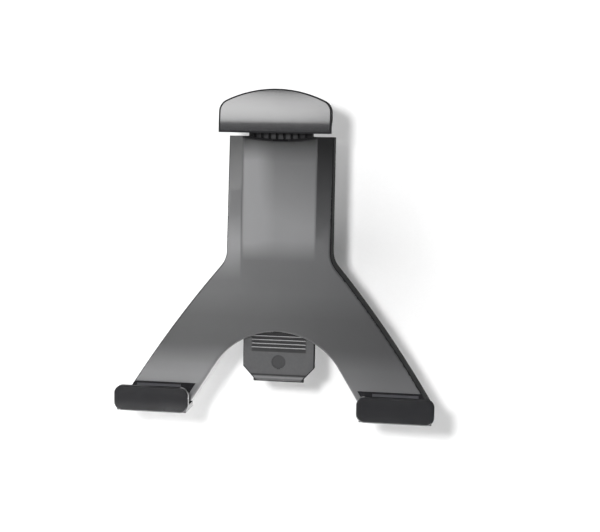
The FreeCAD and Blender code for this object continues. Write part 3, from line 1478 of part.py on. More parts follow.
def make_screws():
    """The screws of the cover, the hooks, the upper jaw and the swivel."""
    group("cover_screws", [
        screw("cover_screw_{}".format(number), x, cover_back + cover_head_height, z, cover_screw_radius,
              cover_screw_length, cover_head_radius, cover_head_height)
        for number, (x, z) in enumerate(cover_screw_places)
    ])
    group("hook_screws", [
        screw("hook_screw_{}".format(number), x, cavity_front, z, cover_screw_radius,
              hook_screw_length, hook_head_radius, hook_head_height)
        for number, (x, z) in enumerate(hook_screw_places)
    ])
    group("head_screws", [
        screw("head_screw_{}".format(turn + 1), turn * head_screw_x, slide_back - head_back_wall,
              head_screw_z, cover_screw_radius, head_screw_length, cover_head_radius, cover_head_height)
        for turn in (1, -1)
    ])
    node(screw("swivel_screw", nothing, hub_end + retainer_thickness, nothing, swivel_screw_radius,
               swivel_screw_length, swivel_head_radius, swivel_head_height, points_back=True))


def build():
    make_front_shell()
    make_rear_cover()
    make_jaw_slide()
    make_jaw_head()
    make_jaw_pad()
    for turn, word in ((-1, "left"), (1, "right")):
        make_hook(turn, word + "_hook")
        make_hook_pad(turn, word + "_hook_pad")
    make_release_key()
    make_pawl()
    make_pawl_pin()
    make_pawl_spring()
    make_key_spring()
    make_swivel_plate()
    flat_ring("swivel_washer", washer_radius, hub_radius + side_gap, disc_front, washer_thickness)
    flat_ring("swivel_retainer", retainer_radius, swivel_screw_radius, hub_end, retainer_thickness)
    make_tilt_bolt()
    make_tilt_knob()
    make_tilt_nut()
    make_clamp_frame()
    make_seat_liner()
    make_thread_insert()
    make_pressure_jaw()
    make_pressure_liner()
    make_clamp_screw()
    make_clamp_knob()
    make_screws()


build()
doc.recompute()
for thing in doc.Objects:
    if "Invalid" in thing.State or "Error" in thing.State:
        raise RuntimeError("{} failed".format(thing.Label))
os.makedirs("parts", exist_ok=True)
for thing in nodes:
    shape = thing.Shape
    if shape.isNull() or not shape.isValid():
        raise RuntimeError("{} has no valid shape".format(thing.Label))
    shape.exportStep("parts/{}.step".format(thing.Label))
    print(thing.Label, len(shape.Solids), round(shape.Volume, 2), shape.BoundBox)
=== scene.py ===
"""Headrest tablet holder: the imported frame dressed, lit and seen as in the photograph."""

import json
import math

import bpy
from mathutils import Matrix, Vector


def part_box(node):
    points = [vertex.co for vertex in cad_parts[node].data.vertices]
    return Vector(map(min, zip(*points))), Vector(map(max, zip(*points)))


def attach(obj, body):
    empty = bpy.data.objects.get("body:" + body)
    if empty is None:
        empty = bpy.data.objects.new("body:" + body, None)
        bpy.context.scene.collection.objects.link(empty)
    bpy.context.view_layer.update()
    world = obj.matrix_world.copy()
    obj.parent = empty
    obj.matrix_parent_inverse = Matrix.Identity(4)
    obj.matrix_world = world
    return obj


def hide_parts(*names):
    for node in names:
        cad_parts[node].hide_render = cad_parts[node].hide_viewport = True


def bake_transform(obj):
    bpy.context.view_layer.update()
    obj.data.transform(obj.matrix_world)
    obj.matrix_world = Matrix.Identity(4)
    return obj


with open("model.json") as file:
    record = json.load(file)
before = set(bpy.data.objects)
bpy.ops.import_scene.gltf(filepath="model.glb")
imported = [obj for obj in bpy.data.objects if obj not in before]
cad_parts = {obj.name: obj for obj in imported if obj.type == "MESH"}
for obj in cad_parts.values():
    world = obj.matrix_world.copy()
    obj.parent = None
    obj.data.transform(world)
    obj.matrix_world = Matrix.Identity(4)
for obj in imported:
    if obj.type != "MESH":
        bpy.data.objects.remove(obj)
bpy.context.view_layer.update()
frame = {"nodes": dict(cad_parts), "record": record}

MM = 0.001
NODES = frame["nodes"]
BODIES = frame["record"]["behaviour"]["bodies"]
SLOTS = {part["node"]: part["material_slot"] for part in frame["record"]["subparts"]}
BODY_OF = {node: body for body, members in BODIES.items() for node in members}

# The plate's front face, which the camera was worked out against
PLATE_FRONT = -54 * MM

# The clamp screw's thread
THREAD_PITCH = 1.25 * MM

# The release key: its face, dimple and ribs, and which way its right chamfer faces and how far out it is
KEY_FACE = PLATE_FRONT + 6 * MM
DIMPLE_LEVEL = -49 * MM
DIMPLE_RADIUS = 3.5 * MM
RIB_HALF = 13.5 * MM
RIBS_ABOVE_FOOT = 15.0 * MM
CHAMFER_FACES = (0.738, -0.675)
CHAMFER_REACH = 47.97 * MM

# Out from the middle of the plate: the look of the raised panel fades into that of the shoulders
PANEL_END = 17.0 * MM
SHOULDER_START = 18.2 * MM

# Modelling by hand: what counts as one corner, as flat, as smooth and as an edge to round
WELD = 0.002 * MM
FLAT_TO = math.radians(0.5)
SMOOTH_TO = math.radians(35)
ROUND_FROM = math.radians(32)

# Camera, from the photograph's perspective
CAMERA_TURN = math.radians(7.7)
CAMERA_RISE = math.radians(6.9)
CAMERA_ROLL = math.radians(1.0)
CAMERA_AWAY = 520 * MM
CAMERA_AIM = Vector((10.7 * MM, PLATE_FRONT, 0))
CAMERA_LENS = 64.6
SENSOR = 36.0

# Studio
CLAMP_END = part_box("clamp_knob")[1].y
WALL_GAP = 8 * MM
WALL_PLACE = CLAMP_END + WALL_GAP
WALL_SIZE = 520 * MM
FLOOR_LEVEL = -190 * MM
FLOOR_SIZE = 320 * MM
PALE = (0.9, 0.9, 0.9, 1)
WALL_PALE = (0.83, 0.83, 0.83, 1)


# Shader maths

class Signal:
    """A socket that can be added, subtracted, multiplied, divided and raised like a number."""

    def __init__(self, graph, socket):
        self.graph = graph
        self.socket = socket

    def _math(self, operation, *values):
        return self.graph.node("ShaderNodeMath", {"operation": operation}, list(values))

    def __add__(self, other):
        return self._math("ADD", self, other)

    def __radd__(self, other):
        return self._math("ADD", other, self)

    def __sub__(self, other):
        return self._math("SUBTRACT", self, other)

    def __rsub__(self, other):
        return self._math("SUBTRACT", other, self)

    def __mul__(self, other):
        return self._math("MULTIPLY", self, other)

    def __rmul__(self, other):
        return self._math("MULTIPLY", other, self)

    def __truediv__(self, other):
        return self._math("DIVIDE", self, other)

    def __pow__(self, other):
        return self._math("POWER", self, other)

    def size(self):
        return self._math("ABSOLUTE", self)

    def turn_from(self, other):
        """Angle round the origin from the two distances, in turns."""
        return self._math("ARCTAN2", self, other) / (2 * math.pi)

    def zigzag(self):
        """Rises and falls between 0 and 1 once for each whole number."""
        return self._math("PINGPONG", self, 0.5) * 2


class Graph:
    """Builds the nodes of one material or world."""

    def __init__(self, owner):
        owner.use_nodes = True
        self.tree = owner.node_tree
        self.tree.nodes.clear()

    def node(self, kind, settings, values, out=0):
        """Adds a node, sets it, then fills its sockets from a list or a dict."""
        made = self.tree.nodes.new(kind)
        for name, value in settings.items():
            setattr(made, name, value)
        items = values.items() if isinstance(values, dict) else enumerate(values)
        for key, value in items:
            self.fill(made.inputs[key], value)
        return Signal(self, made.outputs[out])

    def fill(self, socket, value):
        """Links a signal to a socket, or sets the socket to a plain value."""
        if isinstance(value, Signal):
            self.tree.links.new(value.socket, socket)
        else:
            socket.default_value = value

    def place(self):
        return self.node("ShaderNodeTexCoord", {}, {}, "Object")

    def facing(self):
        return self.node("ShaderNodeNewGeometry", {}, {}, "Normal")

    def ray(self, kind):
        return self.node("ShaderNodeLightPath", {}, {}, kind)

    def part(self, vector, axis):
        return self.node("ShaderNodeSeparateXYZ", {}, [vector], axis)

    def noise(self, place, scale, detail=2.0, roughness=0.5):
        return self.node("ShaderNodeTexNoise", {}, {
            "Vector": place, "Scale": scale, "Detail": detail, "Roughness": roughness,
        })

    def grain(self, place, size):
        """The pits of a spark-eroded mould."""
        return self.noise(place, 1 / size)

    def specks(self, place, scale=520.0):
        """Dust and dull spots."""
        return self.noise(place, scale, 4.0, 0.65)

    def fade(self, value, low, high, start=0.0, end=1.0):
        """From start, where the value is low, to end, where it is high."""
        return self.node("ShaderNodeMapRange", {"clamp": True}, [value, low, high, start, end])

    def grain_tops(self, pits):
        """The paler tops of the grain."""
        return self.fade(pits, 0.35, 0.65) * 0.12

    def dulling(self, dust):
        """What dust adds to the roughness."""
        return self.fade(dust, 0.3, 0.7, -0.04, 0.05)

    def between(self, value, start, full_from, full_to, end):
        """1 from full_from to full_to, falling to 0 at start and end."""
        return self.fade(value, start, full_from) * self.fade(value, end, full_to)

    def blend(self, factor, first, second):
        made = self.tree.nodes.new("ShaderNodeMix")
        made.data_type = "RGBA"
        for name, value in (("Factor_Float", factor), ("A_Color", first), ("B_Color", second)):
            self.fill(next(item for item in made.inputs if item.identifier == name), value)
        return Signal(self, next(item for item in made.outputs if item.identifier == "Result_Color"))

    def bump(self, height, distance, strength=1.0):
        return self.node("ShaderNodeBump", {}, {
            "Strength": strength, "Distance": distance, "Height": height,
        })

    def edges(self):
        """Up to 1 on edges, within half a millimetre of them, and 0 on flats."""
        soft = self.node("ShaderNodeBevel", {"samples": 8}, {"Radius": 0.5 * MM})
        both = [soft, self.facing()]
        return 1 - self.node("ShaderNodeVectorMath", {"operation": "DOT_PRODUCT"}, both, "Value")

    def edge_wear_and_highlight(self, dust):
        """Edges, unevenly: the mask for wear and for a painted highlight along them."""
        return self.fade(self.edges(), 0.03, 0.3) * self.fade(dust, 0.35, 0.65, 0.35, 1.0)

    def output(self, shader, kind="ShaderNodeOutputMaterial"):
        made = self.tree.nodes.new(kind)
        self.tree.links.new(shader.socket, made.inputs["Surface"])

    def surface(self, sockets):
        """Ends the material in a principled shader with these sockets."""
        self.output(self.node("ShaderNodeBsdfPrincipled", {}, sockets))


def material(name):
    made = bpy.data.materials.new(name)
    return made, Graph(made)


# Finishes

def moulded(name, colour, rough, grain, depth, worn_and_highlit=1.35, level=0.5):
    """Moulded plastic: a fine spark-eroded grain, faint flow marks, edges lighter and smoother from wear,
    with a painted highlight along them.

    The grain's width and depth are in millimetres.
    """
    made, graph = material(name)
    place = graph.place()
    pits = graph.grain(place, grain * MM)
    flow = graph.noise(place, 38.0, 3.0, 0.6)
    dust = graph.specks(place)
    wear_and_highlight = graph.edge_wear_and_highlight(dust)
    low = tuple(channel * 0.94 for channel in colour) + (1,)
    high = tuple(channel * 1.06 for channel in colour) + (1,)
    bright = tuple(min(1.0, channel * worn_and_highlit + 0.01) for channel in colour) + (1,)
    base = graph.blend(graph.fade(flow, 0.3, 0.7), low, high)
    base = graph.blend(graph.grain_tops(pits), base, bright)
    # Edges paler: wear, and a painted highlight along them
    base = graph.blend(wear_and_highlight, base, bright)
    graph.surface({
        "Base Color": base,
        "Roughness": rough + graph.dulling(dust) - wear_and_highlight * 0.12,
        "IOR": 1.5,
        "Specular IOR Level": level,
        "Normal": graph.bump(pits, depth * MM),
    })
    return made


def plate_face(name):
    """Satin dark grey plastic of the front plate, with a painted highlight on the panel's left and foot, the
    arms' feet and the left shoulder, and painted shade on the shoulders' tops, under the jaw and across the
    arms.
    """
    satin = (0.042, 0.0425, 0.044, 1)
    highlit = (0.135, 0.136, 0.139, 1)
    shaded = (0.009, 0.009, 0.0095, 1)
    shadowed = (0.012, 0.012, 0.0125, 1)
    darkened = (0.014, 0.014, 0.0145, 1)
    pale = (0.1, 0.1, 0.102, 1)
    worn_and_highlit = (0.09, 0.09, 0.092, 1)

    made, graph = material(name)
    place = graph.place()
    across = graph.part(place, "X")
    height = graph.part(place, "Z")
    pits = graph.grain(place, 0.16 * MM)
    flow = graph.noise(place, 26.0, 3.0, 0.55)
    dust = graph.specks(place)
    drift = graph.fade(flow, 0.3, 0.7, -1.0, 1.0)

    # The raised panel, and the shoulders on its two sides
    panel = graph.between(across, -SHOULDER_START, -PANEL_END, PANEL_END, SHOULDER_START)
    shoulders = 1 - panel

    # Painted highlight: the panel's left and foot, the arms' feet, stronger on the left, and the left
    # shoulder, with a faint random tone from the flow
    to_left = graph.fade(across + drift * (2 * MM), -2 * MM, -14 * MM)
    to_foot = graph.fade(height + drift * (4 * MM), 50 * MM, 22 * MM, 0.0, 0.75)
    on_panel = panel * graph.fade(height, 2 * MM, 12 * MM) * (to_foot + to_left * (1.2 - to_foot))
    on_feet = graph.fade(height + drift * (3 * MM), -42 * MM, -59 * MM) \
        * graph.fade(across, 20 * MM, -20 * MM, 0.5, 1.2)
    on_shoulder = graph.fade(across, -SHOULDER_START, -19.0 * MM) \
        * graph.between(height, -8 * MM, 8 * MM, 34 * MM, 57 * MM)
    highlight_and_tone = on_panel + on_feet + on_shoulder + graph.fade(flow, 0.35, 0.7, 0.0, 0.12)
    wear_and_highlight = graph.edge_wear_and_highlight(dust)

    # Painted shade and a thinner coat: across the arms, on the shoulders' tops, and along the panel's upper
    # edge, where it is the jaw's painted shadow
    waist = graph.between(height, -50 * MM, -40 * MM, -26 * MM, -14 * MM)
    top = graph.fade(height, 58 * MM, 10 * MM, 1.15, 0.0)
    jaw_shadow = panel * graph.fade(height + drift * (1.5 * MM), 50 * MM, 60.5 * MM, 0.0, 0.95)

    # Painted highlight; painted shade on the shoulders' tops, the jaw's painted shadow and painted shade
    # across the arms; paler grain tops; edges paler from wear and a painted highlight
    base = graph.blend(highlight_and_tone, satin, highlit)
    base = graph.blend(shoulders * top * graph.fade(height, 4 * MM, 12 * MM) * 0.85, base, shaded)
    base = graph.blend(jaw_shadow, base, shadowed)
    base = graph.blend(waist * 0.45, base, darkened)
    base = graph.blend(graph.grain_tops(pits), base, pale)
    base = graph.blend(wear_and_highlight * 0.5, base, worn_and_highlit)
    graph.surface({
        "Base Color": base,
        "Roughness": 0.38 + graph.dulling(dust) - wear_and_highlight * 0.1 - highlight_and_tone * 0.04,
        "IOR": 1.5,
        "Specular IOR Level": 0.7,
        "Coat Weight": 1 - jaw_shadow * 0.9 - waist * 0.25 - shoulders * top * 0.25,
        "Coat Roughness": 0.34,
        "Coat IOR": 1.6,
        "Normal": graph.bump(pits, 0.005 * MM),
    })
    return made


def key_face(name):
    """Dark grey plastic of the release key, with a painted highlight on the ribs' crests and the rolled
    foot, painted shade between the ribs, in the dimple and in the crease, and black edges of painted shade.
    """
    plain = (0.055, 0.055, 0.057, 1)
    dusty = (0.066, 0.066, 0.068, 1)
    shaded_groove = (0.008, 0.008, 0.0085, 1)
    darkened = (0.016, 0.016, 0.017, 1)
    pale = (0.25, 0.25, 0.254, 1)
    worn_and_highlit = (0.12, 0.12, 0.123, 1)
    black = (0.003, 0.003, 0.0032, 1)

    made, graph = material(name)
    place = graph.place()
    across = graph.part(place, "X")
    depth = graph.part(place, "Y")
    height = graph.part(place, "Z")
    low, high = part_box("release_key")
    pits = graph.grain(place, 0.18 * MM)
    dust = graph.specks(place, 640.0)

    # Painted highlight on the ribs' crests, painted shade in the grooves between them
    ribs = graph.fade(height, low.z + RIBS_ABOVE_FOOT, low.z + RIBS_ABOVE_FOOT + 0.2 * MM)
    crests = ribs * graph.fade(depth, KEY_FACE - 0.1 * MM, KEY_FACE - 0.45 * MM) \
        * graph.fade(dust, 0.3, 0.65, 0.7, 1.0)
    groove_shade = ribs * graph.fade(depth, KEY_FACE - 0.3 * MM, KEY_FACE - 0.02 * MM) \
        * graph.fade(across.size(), RIB_HALF + 0.4 * MM, RIB_HALF - 0.3 * MM)
    # Painted shade in the dimple's hollow
    drop = height - DIMPLE_LEVEL
    reach = (across * across + drop * drop) ** 0.5
    dimple = graph.fade(reach, DIMPLE_RADIUS + 0.05 * MM, DIMPLE_RADIUS - 0.2 * MM)

    # The rolled lower edge: a painted highlight along its crest, with painted shade in the crease above it
    rise = height - low.z
    roll = graph.between(rise, 1.4 * MM, 1.8 * MM, 2.4 * MM, 2.9 * MM)
    crease = graph.between(rise, 3.0 * MM, 3.3 * MM, 3.7 * MM, 4.1 * MM)

    # Painted shade: a thin black rim on both sides, the two chamfers, measured square to them, and the foot
    to_chamfer = across.size() * CHAMFER_FACES[0] + height * CHAMFER_FACES[1]
    rim = graph.fade(across, high.x - 0.6 * MM, high.x - 0.35 * MM) \
        + graph.fade(across, low.x + 0.3 * MM, low.x + 0.15 * MM) \
        + graph.fade(to_chamfer, CHAMFER_REACH - 0.62 * MM, CHAMFER_REACH - 0.37 * MM) \
        + graph.fade(rise, 0.5 * MM, 0.3 * MM)
    blackened = graph.fade(rim + crease * 0.8, 0.0, 1.0)

    base = graph.blend(graph.fade(dust, 0.3, 0.7), plain, dusty)
    base = graph.blend(groove_shade * 0.85, base, shaded_groove)
    base = graph.blend(dimple * 0.7, base, darkened)
    base = graph.blend(crests, base, pale)
    base = graph.blend(roll * 0.7, base, worn_and_highlit)
    base = graph.blend(blackened, base, black)
    graph.surface({
        "Base Color": base,
        "Roughness": 0.44 + graph.dulling(dust) - crests * 0.1,
        "IOR": 1.5,
        "Coat Weight": 0.5 - blackened * 0.5,
        "Coat Roughness": 0.4,
        "Normal": graph.bump(pits, 0.006 * MM),
    })
    return made


def jaw_face(name):
    """Black gloss plastic of the upper jaw, its shine dulled by hands along the top and under the lip."""
    made, graph = material(name)
    place = graph.place()
    height = graph.part(place, "Z")
    low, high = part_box("jaw_head")
    pits = graph.grain(place, 0.16 * MM)
    flow = graph.noise(place, 38.0, 3.0, 0.6)
    dust = graph.specks(place)
    uneven = graph.fade(flow, 0.3, 0.7, -1.0, 1.0)
    to_right = graph.fade(graph.part(place, "X"), -22 * MM, 4 * MM, 0.4, 1.0)
    along_top = to_right \
        * graph.fade(height + uneven * (1.5 * MM), high.z - 10 * MM, high.z - 1 * MM, 0.0, 0.3)
    under_lip = graph.fade(height, low.z + 4 * MM, low.z + 0.5 * MM, 0.0, 0.75)
    base = graph.blend(graph.fade(flow, 0.3, 0.7), (0.013, 0.013, 0.0145, 1), (0.015, 0.015, 0.0165, 1))
    base = graph.blend(graph.grain_tops(pits), base, (0.03, 0.03, 0.032, 1))
    graph.surface({
        "Base Color": base,
        "Roughness": 0.22 + graph.fade(dust, 0.3, 0.7, 0.0, 0.04),
        "IOR": 1.5,
        "Specular IOR Level": 0.3,
        "Coat Weight": 1 - (along_top + under_lip),
        "Coat Roughness": 0.24,
        "Coat IOR": 1.83,
        "Normal": graph.bump(pits, 0.003 * MM),
    })
    return made


def hook_face(name):
    """Black gloss plastic of the hooks, with a painted highlight on the edges that face up or inward and in
    a band low across the hooks, stronger on the left.
    """
    made, graph = material(name)
    place = graph.place()
    across = graph.part(place, "X")
    height = graph.part(place, "Z")
    facing = graph.facing()
    inward = graph.fade(graph.part(facing, "X") * across, -10 * MM, -30 * MM)
    upward = graph.fade(graph.part(facing, "Z"), 0.3, 0.7) * 0.75
    pits = graph.grain(place, 0.16 * MM)
    flow = graph.noise(place, 60.0, 3.0, 0.6)
    dust = graph.specks(place)
    # Painted highlight on edges facing up or inward
    wear_and_highlight = graph.fade(graph.edges(), 0.02, 0.2) * (inward + upward) \
        * graph.fade(dust, 0.3, 0.6, 0.6, 1.0)
    # Painted highlight in a band low across the hooks, stronger on the left
    lip_highlight = graph.between(height, -74 * MM, -71 * MM, -70 * MM, -66 * MM) \
        * graph.fade(across, 20 * MM, -20 * MM, 0.2, 1.0) * graph.fade(flow, 0.3, 0.6, 0.5, 1.0)
    base = graph.blend(graph.fade(flow, 0.3, 0.7), (0.012, 0.012, 0.0135, 1), (0.016, 0.016, 0.0175, 1))
    base = graph.blend(lip_highlight * 0.35, base, (0.09, 0.09, 0.092, 1))
    base = graph.blend(wear_and_highlight, base, (0.3, 0.3, 0.303, 1))
    graph.surface({
        "Base Color": base,
        "Roughness": 0.22 + graph.dulling(dust),
        "IOR": 1.5,
        "Specular IOR Level": 0.7,
        "Coat Weight": 1 - wear_and_highlight * 0.8,
        "Coat Roughness": 0.22,
        "Coat IOR": 1.6,
        "Normal": graph.bump(pits, 0.003 * MM),
    })
    return made


def slide_face(name):
    """Plastic of the slide, near black as painted shade under the jaw, with a painted highlight on the
    ridges between its grooves, fading to painted shade at the sides.
    """
    made, graph = material(name)
    place = graph.place()
    depth = graph.part(place, "Y")
    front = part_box("jaw_slide")[0].y
    dust = graph.specks(place)
    # Painted shade towards the sides, and a painted highlight on the ridges in the middle
    middle = graph.fade(graph.part(place, "X").size(), 14 * MM, 6 * MM, 0.1, 1.0)
    ridges = graph.fade(depth, front + 0.3 * MM, front + 0.02 * MM) \
        * graph.fade(dust, 0.3, 0.7, 0.7, 1.0) * middle
    graph.surface({
        "Base Color": graph.blend(ridges, (0.004, 0.004, 0.0045, 1), (0.04, 0.04, 0.042, 1)),
        "Roughness": 0.5 - ridges * 0.08,
        "IOR": 1.5,
        "Normal": graph.bump(graph.noise(place, 5200.0), 0.006 * MM),
    })
    return made


def rubber(name, colour):
    """Matt rubber with a bloom of dust in its grain."""
    made, graph = material(name)
    place = graph.place()
    bloom = graph.noise(place, 240.0, 4.0, 0.7)
    dusty = tuple(channel * 1.5 + 0.012 for channel in colour) + (1,)
    graph.surface({
        "Base Color": graph.blend(graph.fade(bloom, 0.4, 0.75, 0.0, 0.5), colour + (1,), dusty),
        "Roughness": 0.75 + graph.fade(bloom, 0.3, 0.7, -0.05, 0.08),
        "IOR": 1.45,
        "Normal": graph.bump(graph.noise(place, 4200.0), 0.02 * MM, 0.8),
    })
    return made


def turned_metal(name, colour, rough):
    """Plated or turned metal with fine marks and dull spots."""
    made, graph = material(name)
    place = graph.place()
    marks = graph.noise(place, 2600.0, 3.0, 0.6)
    spots = graph.specks(place, 420.0)
    darkened = tuple(channel * 0.62 for channel in colour) + (1,)
    graph.surface({
        "Base Color": graph.blend(graph.fade(spots, 0.42, 0.75, 0.0, 0.7), colour + (1,), darkened),
        "Metallic": 1.0,
        "Roughness": rough + graph.fade(spots, 0.3, 0.7, -0.05, 0.12) + marks * 0.06,
        "Normal": graph.bump(marks, 0.01 * MM, 0.5),
    })
    return made


def threaded_steel(name, colour, rough):
    """Plated steel with a rolled thread wound round the clamp screw's own axis."""
    made, graph = material(name)
    place = graph.place()
    across = graph.part(place, "X")
    along = graph.part(place, "Y")
    height = graph.part(place, "Z")
    winding = (along / THREAD_PITCH + across.turn_from(height)).zigzag()
    spots = graph.specks(place, 420.0)
    grease = graph.fade(winding, 0.5, 0.0) * graph.fade(spots, 0.3, 0.6, 0.4, 0.9)
    graph.surface({
        "Base Color": graph.blend(grease, colour + (1,), (0.05, 0.045, 0.04, 1)),
        "Metallic": 1.0,
        "Roughness": rough + grease * 0.25 + graph.fade(spots, 0.3, 0.7, -0.04, 0.08),
        "Normal": graph.bump(graph.fade(winding, 0.15, 0.85), 0.5 * MM),
    })
    return made


def make_finishes():
    """One material for each of the record's finishes, and three more that only this script tells apart."""
    return {
        "shell_plastic": plate_face("satin_grey_plastic"),
        "cover_plastic": moulded(
            "rear_cover_plastic", (0.07, 0.07, 0.075), rough=0.55, grain=0.22, depth=0.02),
        "slide_plastic": slide_face("slide_plastic"),
        "jaw_plastic": jaw_face("jaw_head_plastic"),
        "key_plastic": key_face("key_plastic"),
        "pad_rubber": rubber("pad_rubber", (0.045, 0.045, 0.05)),
        "works_plastic": moulded(
            "acetal", (0.72, 0.71, 0.67), rough=0.35, grain=0.3, depth=0.004, worn_and_highlit=1.05),
        "clamp_plastic": moulded(
            "clamp_plastic", (0.06, 0.06, 0.065), rough=0.5, grain=0.25, depth=0.02),
        "knob_plastic": moulded(
            "knob_plastic", (0.05, 0.05, 0.055), rough=0.5, grain=0.25, depth=0.02),
        "liner_rubber": rubber("liner_rubber", (0.06, 0.06, 0.065)),
        "steel": turned_metal("zinc_plated_steel", (0.62, 0.62, 0.63), rough=0.32),
        "dark_screws": turned_metal("blackened_steel", (0.08, 0.08, 0.085), rough=0.42),
        "spring_steel": turned_metal("spring_steel", (0.55, 0.55, 0.57), rough=0.25),
        "brass": turned_metal("turned_brass", (0.72, 0.55, 0.25), rough=0.3),
        "hook_face": hook_face("hook_plastic"),
        "screw_thread": threaded_steel("threaded_steel", (0.6, 0.6, 0.61), rough=0.3),
        # Painted shade, matt black, for sides, outlines and screw recesses
        "shade_black": moulded(
            "side_shade_black", (0.014, 0.014, 0.015), rough=0.6, grain=0.25, depth=0.02, level=0.02),
    }


def paint(thing, finish):
    """Gives an object one material."""
    if not thing.material_slots:
        thing.data.materials.append(finish)
    for holder in thing.material_slots:
        holder.material = finish


# Modelling by hand

def only(thing):
    """Selects one object and makes it active."""
    bpy.ops.object.select_all(action="DESELECT")
    thing.select_set(True)
    bpy.context.view_layer.objects.active = thing


def edit(*steps):
    """Runs steps in edit mode on the active object, with all of it selected first."""
    bpy.ops.object.mode_set(mode="EDIT")
    bpy.ops.mesh.select_all(action="SELECT")
    for step in steps:
        step()
    bpy.ops.object.mode_set(mode="OBJECT")


def modify(thing, kind, **settings):
    """Adds a modifier, sets it and applies it."""
    only(thing)
    made = thing.modifiers.new(kind.lower(), kind)
    for name, value in settings.items():
        setattr(made, name, value)
    bpy.ops.object.modifier_apply(modifier=made.name)


def smooth(thing):
    """Smooth shading, apart from sharp edges."""
    only(thing)
    bpy.ops.object.shade_smooth_by_angle(angle=SMOOTH_TO)


def merged_copy(node, name):
    """A copy of a CAD node with its loose triangles joined and flat faces made whole."""
    mesh = NODES[node].data.copy()
    thing = bpy.data.objects.new(name, mesh)
    mesh.name = name
    bpy.context.scene.collection.objects.link(thing)
    only(thing)
    edit(
        lambda: bpy.ops.mesh.remove_doubles(threshold=WELD),
        lambda: bpy.ops.mesh.dissolve_limited(angle_limit=FLAT_TO),
        lambda: bpy.ops.mesh.normals_make_consistent(inside=False),
    )
    return thing


def break_edges(thing, width):
    """Rounds every sharp edge a little, then smooths the shading."""
    modify(thing, "BEVEL", width=width, segments=2, limit_method="ANGLE",
           angle_limit=ROUND_FROM, use_clamp_overlap=True, harden_normals=False)
    smooth(thing)
    modify(thing, "WEIGHTED_NORMAL", keep_sharp=True, weight=80)


def join_body(thing, node, finish):
    """Hangs a finished piece on its CAD node's body, in its place."""
    paint(thing, finish)
    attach(thing, BODY_OF[node])
    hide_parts(node)


def pick_faces(thing, wanted):
    """Selects the faces for which wanted holds, and no others."""
    only(thing)
    bpy.ops.object.mode_set(mode="EDIT")
    bpy.ops.mesh.select_mode(type="FACE")
    bpy.ops.mesh.select_all(action="DESELECT")
    bpy.ops.object.mode_set(mode="OBJECT")
    for face in thing.data.polygons:
        face.select = wanted(face)


def shade_picked(thing):
    """Paints shade on the picked faces: a matt black material of their own."""
    thing.data.materials.append(FINISHES["shade_black"])
    thing.active_material_index = 1
    bpy.ops.object.mode_set(mode="EDIT")
    bpy.ops.object.material_slot_assign()
    bpy.ops.object.mode_set(mode="OBJECT")


def shaded_sides(thing, lean):
    """Paints shade on the outer sides, turned from the front by more than lean, in matt black. Those of the
    arch stay grey.
    """
    limit = -math.cos(math.radians(lean))
    pick_faces(thing, lambda face: face.normal.y > limit and face.normal.x * face.center.x > -0.1 * MM)
    shade_picked(thing)


def outline_shade(thing, width):
    """Paints shade as a black ring round the front, just inside its outline, and on all that lies behind it.
    """
    front = min(vertex.co.y for vertex in thing.data.vertices)
    slope_end = front + 8 * MM
    pick_faces(thing, lambda face: face.normal.y < -0.85 and face.center.y < slope_end)
    bpy.ops.object.mode_set(mode="EDIT")
    bpy.ops.mesh.inset(thickness=width, use_boundary=True, use_even_offset=True)
    bpy.ops.mesh.select_all(action="INVERT")
    bpy.ops.object.mode_set(mode="OBJECT")
    shade_picked(thing)


def dressed(node, width, lean=None, finish=None):
    """A CAD node's own form with its edges broken by a width in millimetres, standing for it. With a lean,
    its sides get painted shade.
    """
    thing = merged_copy(node, node + "_dressed")
    break_edges(thing, width * MM)
    join_body(thing, node, FINISHES[finish or SLOTS[node]])
    if lean:
        shaded_sides(thing, lean)


def middle_of(values):
    return (min(values) + max(values)) / 2


def head_of(screw):
    """The middle of a screw's head, on its outer face, and the head's radius there."""
    corners = [vertex.co for vertex in screw.data.vertices]
    outer = max(corner.y for corner in corners)
    rim = [corner for corner in corners if corner.y > outer - 0.05 * MM]
    across = [corner.x for corner in rim]
    upward = [corner.z for corner in rim]
    return Vector((middle_of(across), outer, middle_of(upward))), (max(across) - min(across)) / 2


def cross_blade(spot, reach, thickness, depth, upright):
    """One tapered blade of a cross recess, to be cut into a screw's head from behind."""
    bpy.ops.object.select_all(action="DESELECT")
    bpy.ops.mesh.primitive_cone_add(
        vertices=4, radius1=reach * 0.35, radius2=reach, depth=2 * depth, location=spot,
        rotation=(math.radians(-90), math.radians(45), 0))
    blade = bpy.context.object
    bpy.ops.object.transform_apply(location=False, rotation=True, scale=True)
    blade.scale = (thickness / reach, 1, 1) if upright else (1, 1, thickness / reach)
    bpy.ops.object.transform_apply(location=True, rotation=False, scale=True)
    return blade


